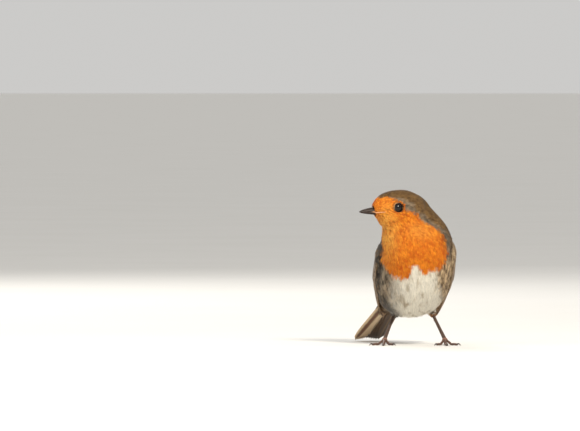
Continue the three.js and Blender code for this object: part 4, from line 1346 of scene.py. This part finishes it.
for side, sign in SIDES.items():
    def place(along, across, lift, sign=sign):
        """A place on this wing's face."""
        return on_wing(sign, *np.broadcast_arrays(along, across, lift))

    # the pad, closed, under the coverts
    along = np.linspace(0.5, PAD_END, PAD_ROWS)[:, None]
    low, top = wing_limits(along)
    span = np.linspace(0, 1, PAD_SIDES)[None]
    across = low + 0.4 + (top - low - 0.8) * span
    rim = np.sqrt(np.clip(1 - (2 * span - 1) ** 6, 0, 1)) * np.sqrt(np.clip((along - 0.3) / 3, 0, 1))
    depth = (3.3 - 1.2 * along / PAD_END) / 2
    sunk = 0.7 + 1.1 * (along / PAD_END) ** 3
    outer = place(along, across, -sunk - depth * (1 - rim))
    inner = place(along, across, -sunk - depth * (1 + rim))
    pad = np.concatenate([outer, inner[:, ::-1]], 1)
    pad = np.concatenate([pad[:1].mean(1, keepdims=True).repeat(2 * PAD_SIDES, 1), pad,
                          pad[-1:].mean(1, keepdims=True).repeat(2 * PAD_SIDES, 1)])
    if sign < 0:
        pad = pad[:, ::-1]
    piece(f"wing_pad_{side}", pad.reshape(-1, 3), rings_mesh(pad), pad_finish,
          replaces=[f"wing_{side}_coverts"])

    # primaries: seven show, stepping out to the wing's tip along its lower edge
    dice = np.random.default_rng(70 + sign)
    rows = vane_row(place, dice, **PRIMARIES)
    for _, marks in rows:
        marks["lit"] = np.full(marks["rim"].shape, UNDERSIDE_LIT)
    flight_feathers(f"primaries_{side}", rows, primary_finish,
                    [f"wing_{side}_primaries"])

    # secondaries, and over them the three broad tertials next to the back
    rows = vane_row(place, dice, **SECONDARIES) + vane_row(place, dice, **TERTIALS)
    flight_feathers(f"secondaries_{side}", rows, primary_finish,
                    [f"wing_{side}_secondaries"])

    # greater coverts over the bases of the secondaries, primary coverts and the alula below them
    rows = [*vane_row(place, dice, **PRIMARY_COVERTS), *vane_row(place, dice, **GREATER_COVERTS),
            *vane_row(place, dice, **ALULA)]
    flight_feathers(f"greater_coverts_{side}", rows, covert_finish)

    # lesser and median coverts: soft feathers, small round the wrist and longer down the wing
    pad_surface = mesh_surface(pad)

    def near_wrist(points):
        """The pad's outer face, and all of its front end."""
        along = (points - WRIST) @ WING_ALONG
        out = points[:, 0] * sign - BODY_LEAN * sign * (points[:, 2] - 40)
        return (along < 17.5) & ((out > 18) | (along < 4))

    def wing_marks(points):
        """Greyish olive, darkened a little, and with strong painted shade on the bird's right wing."""
        front = ramp((points - WRIST) @ WING_ALONG, 7, 2)
        return only(points, slate=0.2 + 0.5 * front,
                    shade=(0.2 if sign > 0 else 0.72) + 0.2 * front * (sign < 0))

    def down_the_wing(points):
        """How far points lie along the wing, up to the end of the soft coverts."""
        return np.clip((points - WRIST) @ WING_ALONG, 0, 20)

    def wing_unwrap(points):
        """Places in a unit square: along the wing, and across it."""
        away = points - WRIST
        return 0.1 + 0.8 * np.stack([(away @ WING_ALONG) / 40, (away @ WING_ACROSS + 12) / 30], 1)

    lesser_roots = scatter(pad_surface, near_wrist, fixed(0.85), 80 + sign)
    feathers(f"lesser_coverts_{side}", lesser_roots, pad_surface, down_wing, coat, "back_feathers",
             81 + sign, length=lambda points: 4.2 + 0.22 * down_the_wing(points),
             width=lambda points: 2.8 + 0.09 * down_the_wing(points), depth=fixed(-0.1), barbs=24,
             barb_width=0.18, rise=0.5, marks_of=wing_marks, place_of=wing_unwrap)

# ---------------------------------------------------------------- tail
# Twelve feathers in a narrow fan that points down and to the bird's right, the middle pair on
# top; from below the pale shafts and the buff edges of the vanes show.
TAIL_LENGTH = 58.3
TAIL_FEATHERS = 12
TAIL_VANE_HALF = 3.6

# its pale underside colours are partly its own and partly painted sunlight
tail_finish = flight_finish("tail_vanes", linear(66, 49, 32), linear(112, 85, 56),
                            linear(150, 116, 78), 0.86, (linear(128, 84, 50), linear(255, 224, 180)))


def on_tail(along, across, lift):
    """A place in the tail: along it, across it to its left edge, and above its middle pair."""
    along, across, lift = np.broadcast_arrays(along, across, lift)
    return (TAIL_ROOT + TAIL_ALONG * along[..., None] + TAIL_ACROSS * across[..., None]
            + TAIL_UP * lift[..., None])


rows = []
dice = np.random.default_rng(90)
for index in range(TAIL_FEATHERS):
    spot = 2 * index / (TAIL_FEATHERS - 1) - 1
    rank = abs(spot) * TAIL_FEATHERS / 2
    length = TAIL_LENGTH - 1.2 * spot**2 - 0.3 * (index % 2)
    rings, marks = vane_points(on_tail, (-3, spot * 3.6), (length, spot * 7.7), TAIL_VANE_HALF,
                               (-0.3 * rank - 0.1, -0.3 * rank - 0.15), 0.0, dice, tip_round=3.2,
                               narrow=0.5)
    # painted light: only the vanes on one side get the pale sunlit underside; the rest stay dark, as painted
    # shade
    marks["lit"] = np.full(marks["rim"].shape, ramp(spot, 0.05, -0.25))
    rows.append((rings, marks))
flight_feathers("tail_vanes", rows, tail_finish, ["tail"])


# ---------------------------------------------------------------- legs and feet
# Thin brown tarsi in smooth horn sheaths, a knuckle, four toes with scaled tops and padded
# soles on each foot, and curved dark claws.
TARSUS_RADII = [1.2, 1.02, 0.92, 1.0, 1.2]
KNUCKLE_RADII = [1.0, 1.65, 1.75, 1.3]
TOE_RADIUS = 0.78
TOE_PADS = np.array([1.15, 1.12, 0.98, 1.1, 0.86, 1.04, 0.84, 0.98, 0.72])  # swellings down a toe
TOES = {"hind": (176, 8.2, 5.6, 1.05), "middle": (4, 14.6, 3.9, 1.0), "inner": (-27, 9.4, 3.6, 0.92),
        "outer": (38, 10.6, 3.5, 0.92)}  # outward turn, length, claw's length, thickness
TOE_START = 1.55

leg_finish = new_material("leg_scales", Roughness=0.42, Specular_IOR_Level=0.45)
scales = mark(leg_finish, "groove")
hide_tone = mixed(leg_finish, noise(leg_finish, 900, 4), linear(42, 29, 23), linear(96, 70, 54))
hide_tone = mixed(leg_finish, mark(leg_finish, "pale"), hide_tone, linear(176, 128, 110))
paint(leg_finish, Base_Color=mixed(leg_finish, scales, hide_tone, linear(40, 28, 24)))
bumped(leg_finish, noise(leg_finish, 3200, 3), 0.00012)
claw_finish = new_material("claw_horn", Roughness=0.28, Specular_IOR_Level=0.5)
paint(claw_finish, Base_Color=mixed(claw_finish, noise(claw_finish, 1200, 3, (1, 1, 3)), linear(26, 20, 18),
                                    linear(82, 64, 54)))
bumped(claw_finish, noise(claw_finish, 3000), 0.00005)


def scaled_limb(name, points, radii, pitch, replaces, pale=0.0, steps=64, sides=14, flat=None):
    """A bare limb whose sheath is stepped in rings of scales, pitch apart."""
    line, share = line_through(points, steps)
    size = np.linalg.norm(np.diff(line, axis=0), axis=1).sum()
    radius = np.interp(share, np.linspace(0, 1, len(radii)), radii)
    phase = (share * size / pitch) % 1
    step = 0.05 * (1 - phase) * ramp(phase, 0, 0.12)
    rings = tube(line, radius + step, sides)
    groove = np.concatenate([[0], ramp(phase, 0.16, 0.0) + ramp(phase, 0.9, 1.0), [0]])
    front = ramp(unit(rings - np.concatenate([line[:1], line, line[-1:]])[:, None])[..., 2], -0.2, 0.6)
    marks = {"groove": (0.75 * groove[:, None] * np.maximum(front, 0.35)).ravel(),
             "pale": np.full(rings.shape[0] * sides, float(pale))}
    if flat is not None:
        rings[..., 2] = np.maximum(rings[..., 2], flat)
    piece(name, rings.reshape(-1, 3), rings_mesh(rings), leg_finish, marks, replaces=replaces)


for side, sign in SIDES.items():
    ankle = np.array([sign * 9.3, STANCE[1] + 13.5, 24.0])
    foot = np.array([sign * 18.4 + STANCE[0], STANCE[1], 3.6])
    tarsus = [ankle + (foot - ankle) * share for share in (-0.05, 0.3, 0.6, 0.88, 1.0)]
    scaled_limb(f"tarsus_sheath_{side}", tarsus, TARSUS_RADII, 3.1, [f"tarsus_{side}"])
    knuckle = [foot + UP * height for height in (0.9, 0.3, -0.6, -1.6)]
    scaled_limb(f"knuckle_{side}", knuckle, KNUCKLE_RADII, 0.7, [f"foot_{side}"], 0.45, 28)
    for toe, (turn, length, claw, thick) in TOES.items():
        turn = math.radians(turn)
        ahead = np.array([sign * math.sin(turn), -math.cos(turn), 0])
        flat_foot = foot * [1, 1, 0]

        def toe_at(distance, height):
            """A place this far along the toe and above the ground."""
            return flat_foot + ahead * distance + UP * height

        radius = TOE_RADIUS * thick
        low = radius - 0.1
        end = TOE_START + length
        points = [toe_at(0.4, 3.2), toe_at(TOE_START, 2.8), toe_at(TOE_START + length * 0.22, 1.9),
                  toe_at(TOE_START + length * 0.45, low + 0.1),
                  toe_at(TOE_START + length * 0.72, low + 0.22), toe_at(end, low)]
        scaled_limb(f"toe_scales_{side}_{toe}", points, radius * TOE_PADS, 0.95,
                    [f"toe_{side}_{toe}"], 0.15, flat=0.0)
        base = radius * 0.66
        start = end - 0.3
        hook, share = line_through([toe_at(start, base + 0.25), toe_at(start + claw * 0.4, base + 0.7),
                                    toe_at(start + claw * 0.8, base + 0.15),
                                    toe_at(start + claw + 0.3, 0.16)], 22)
        talon = tube(hook, base * (1 - share) ** 0.6 + 0.06, 10)
        talon[..., 2] = np.maximum(talon[..., 2], 0.0)
        piece(f"talon_{side}_{toe}", talon.reshape(-1, 3), rings_mesh(talon), claw_finish,
              replaces=[f"claw_{side}_{toe}"])

# ---------------------------------------------------------------- size and finish
# The outer corners of the dressed bird.
low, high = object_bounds()
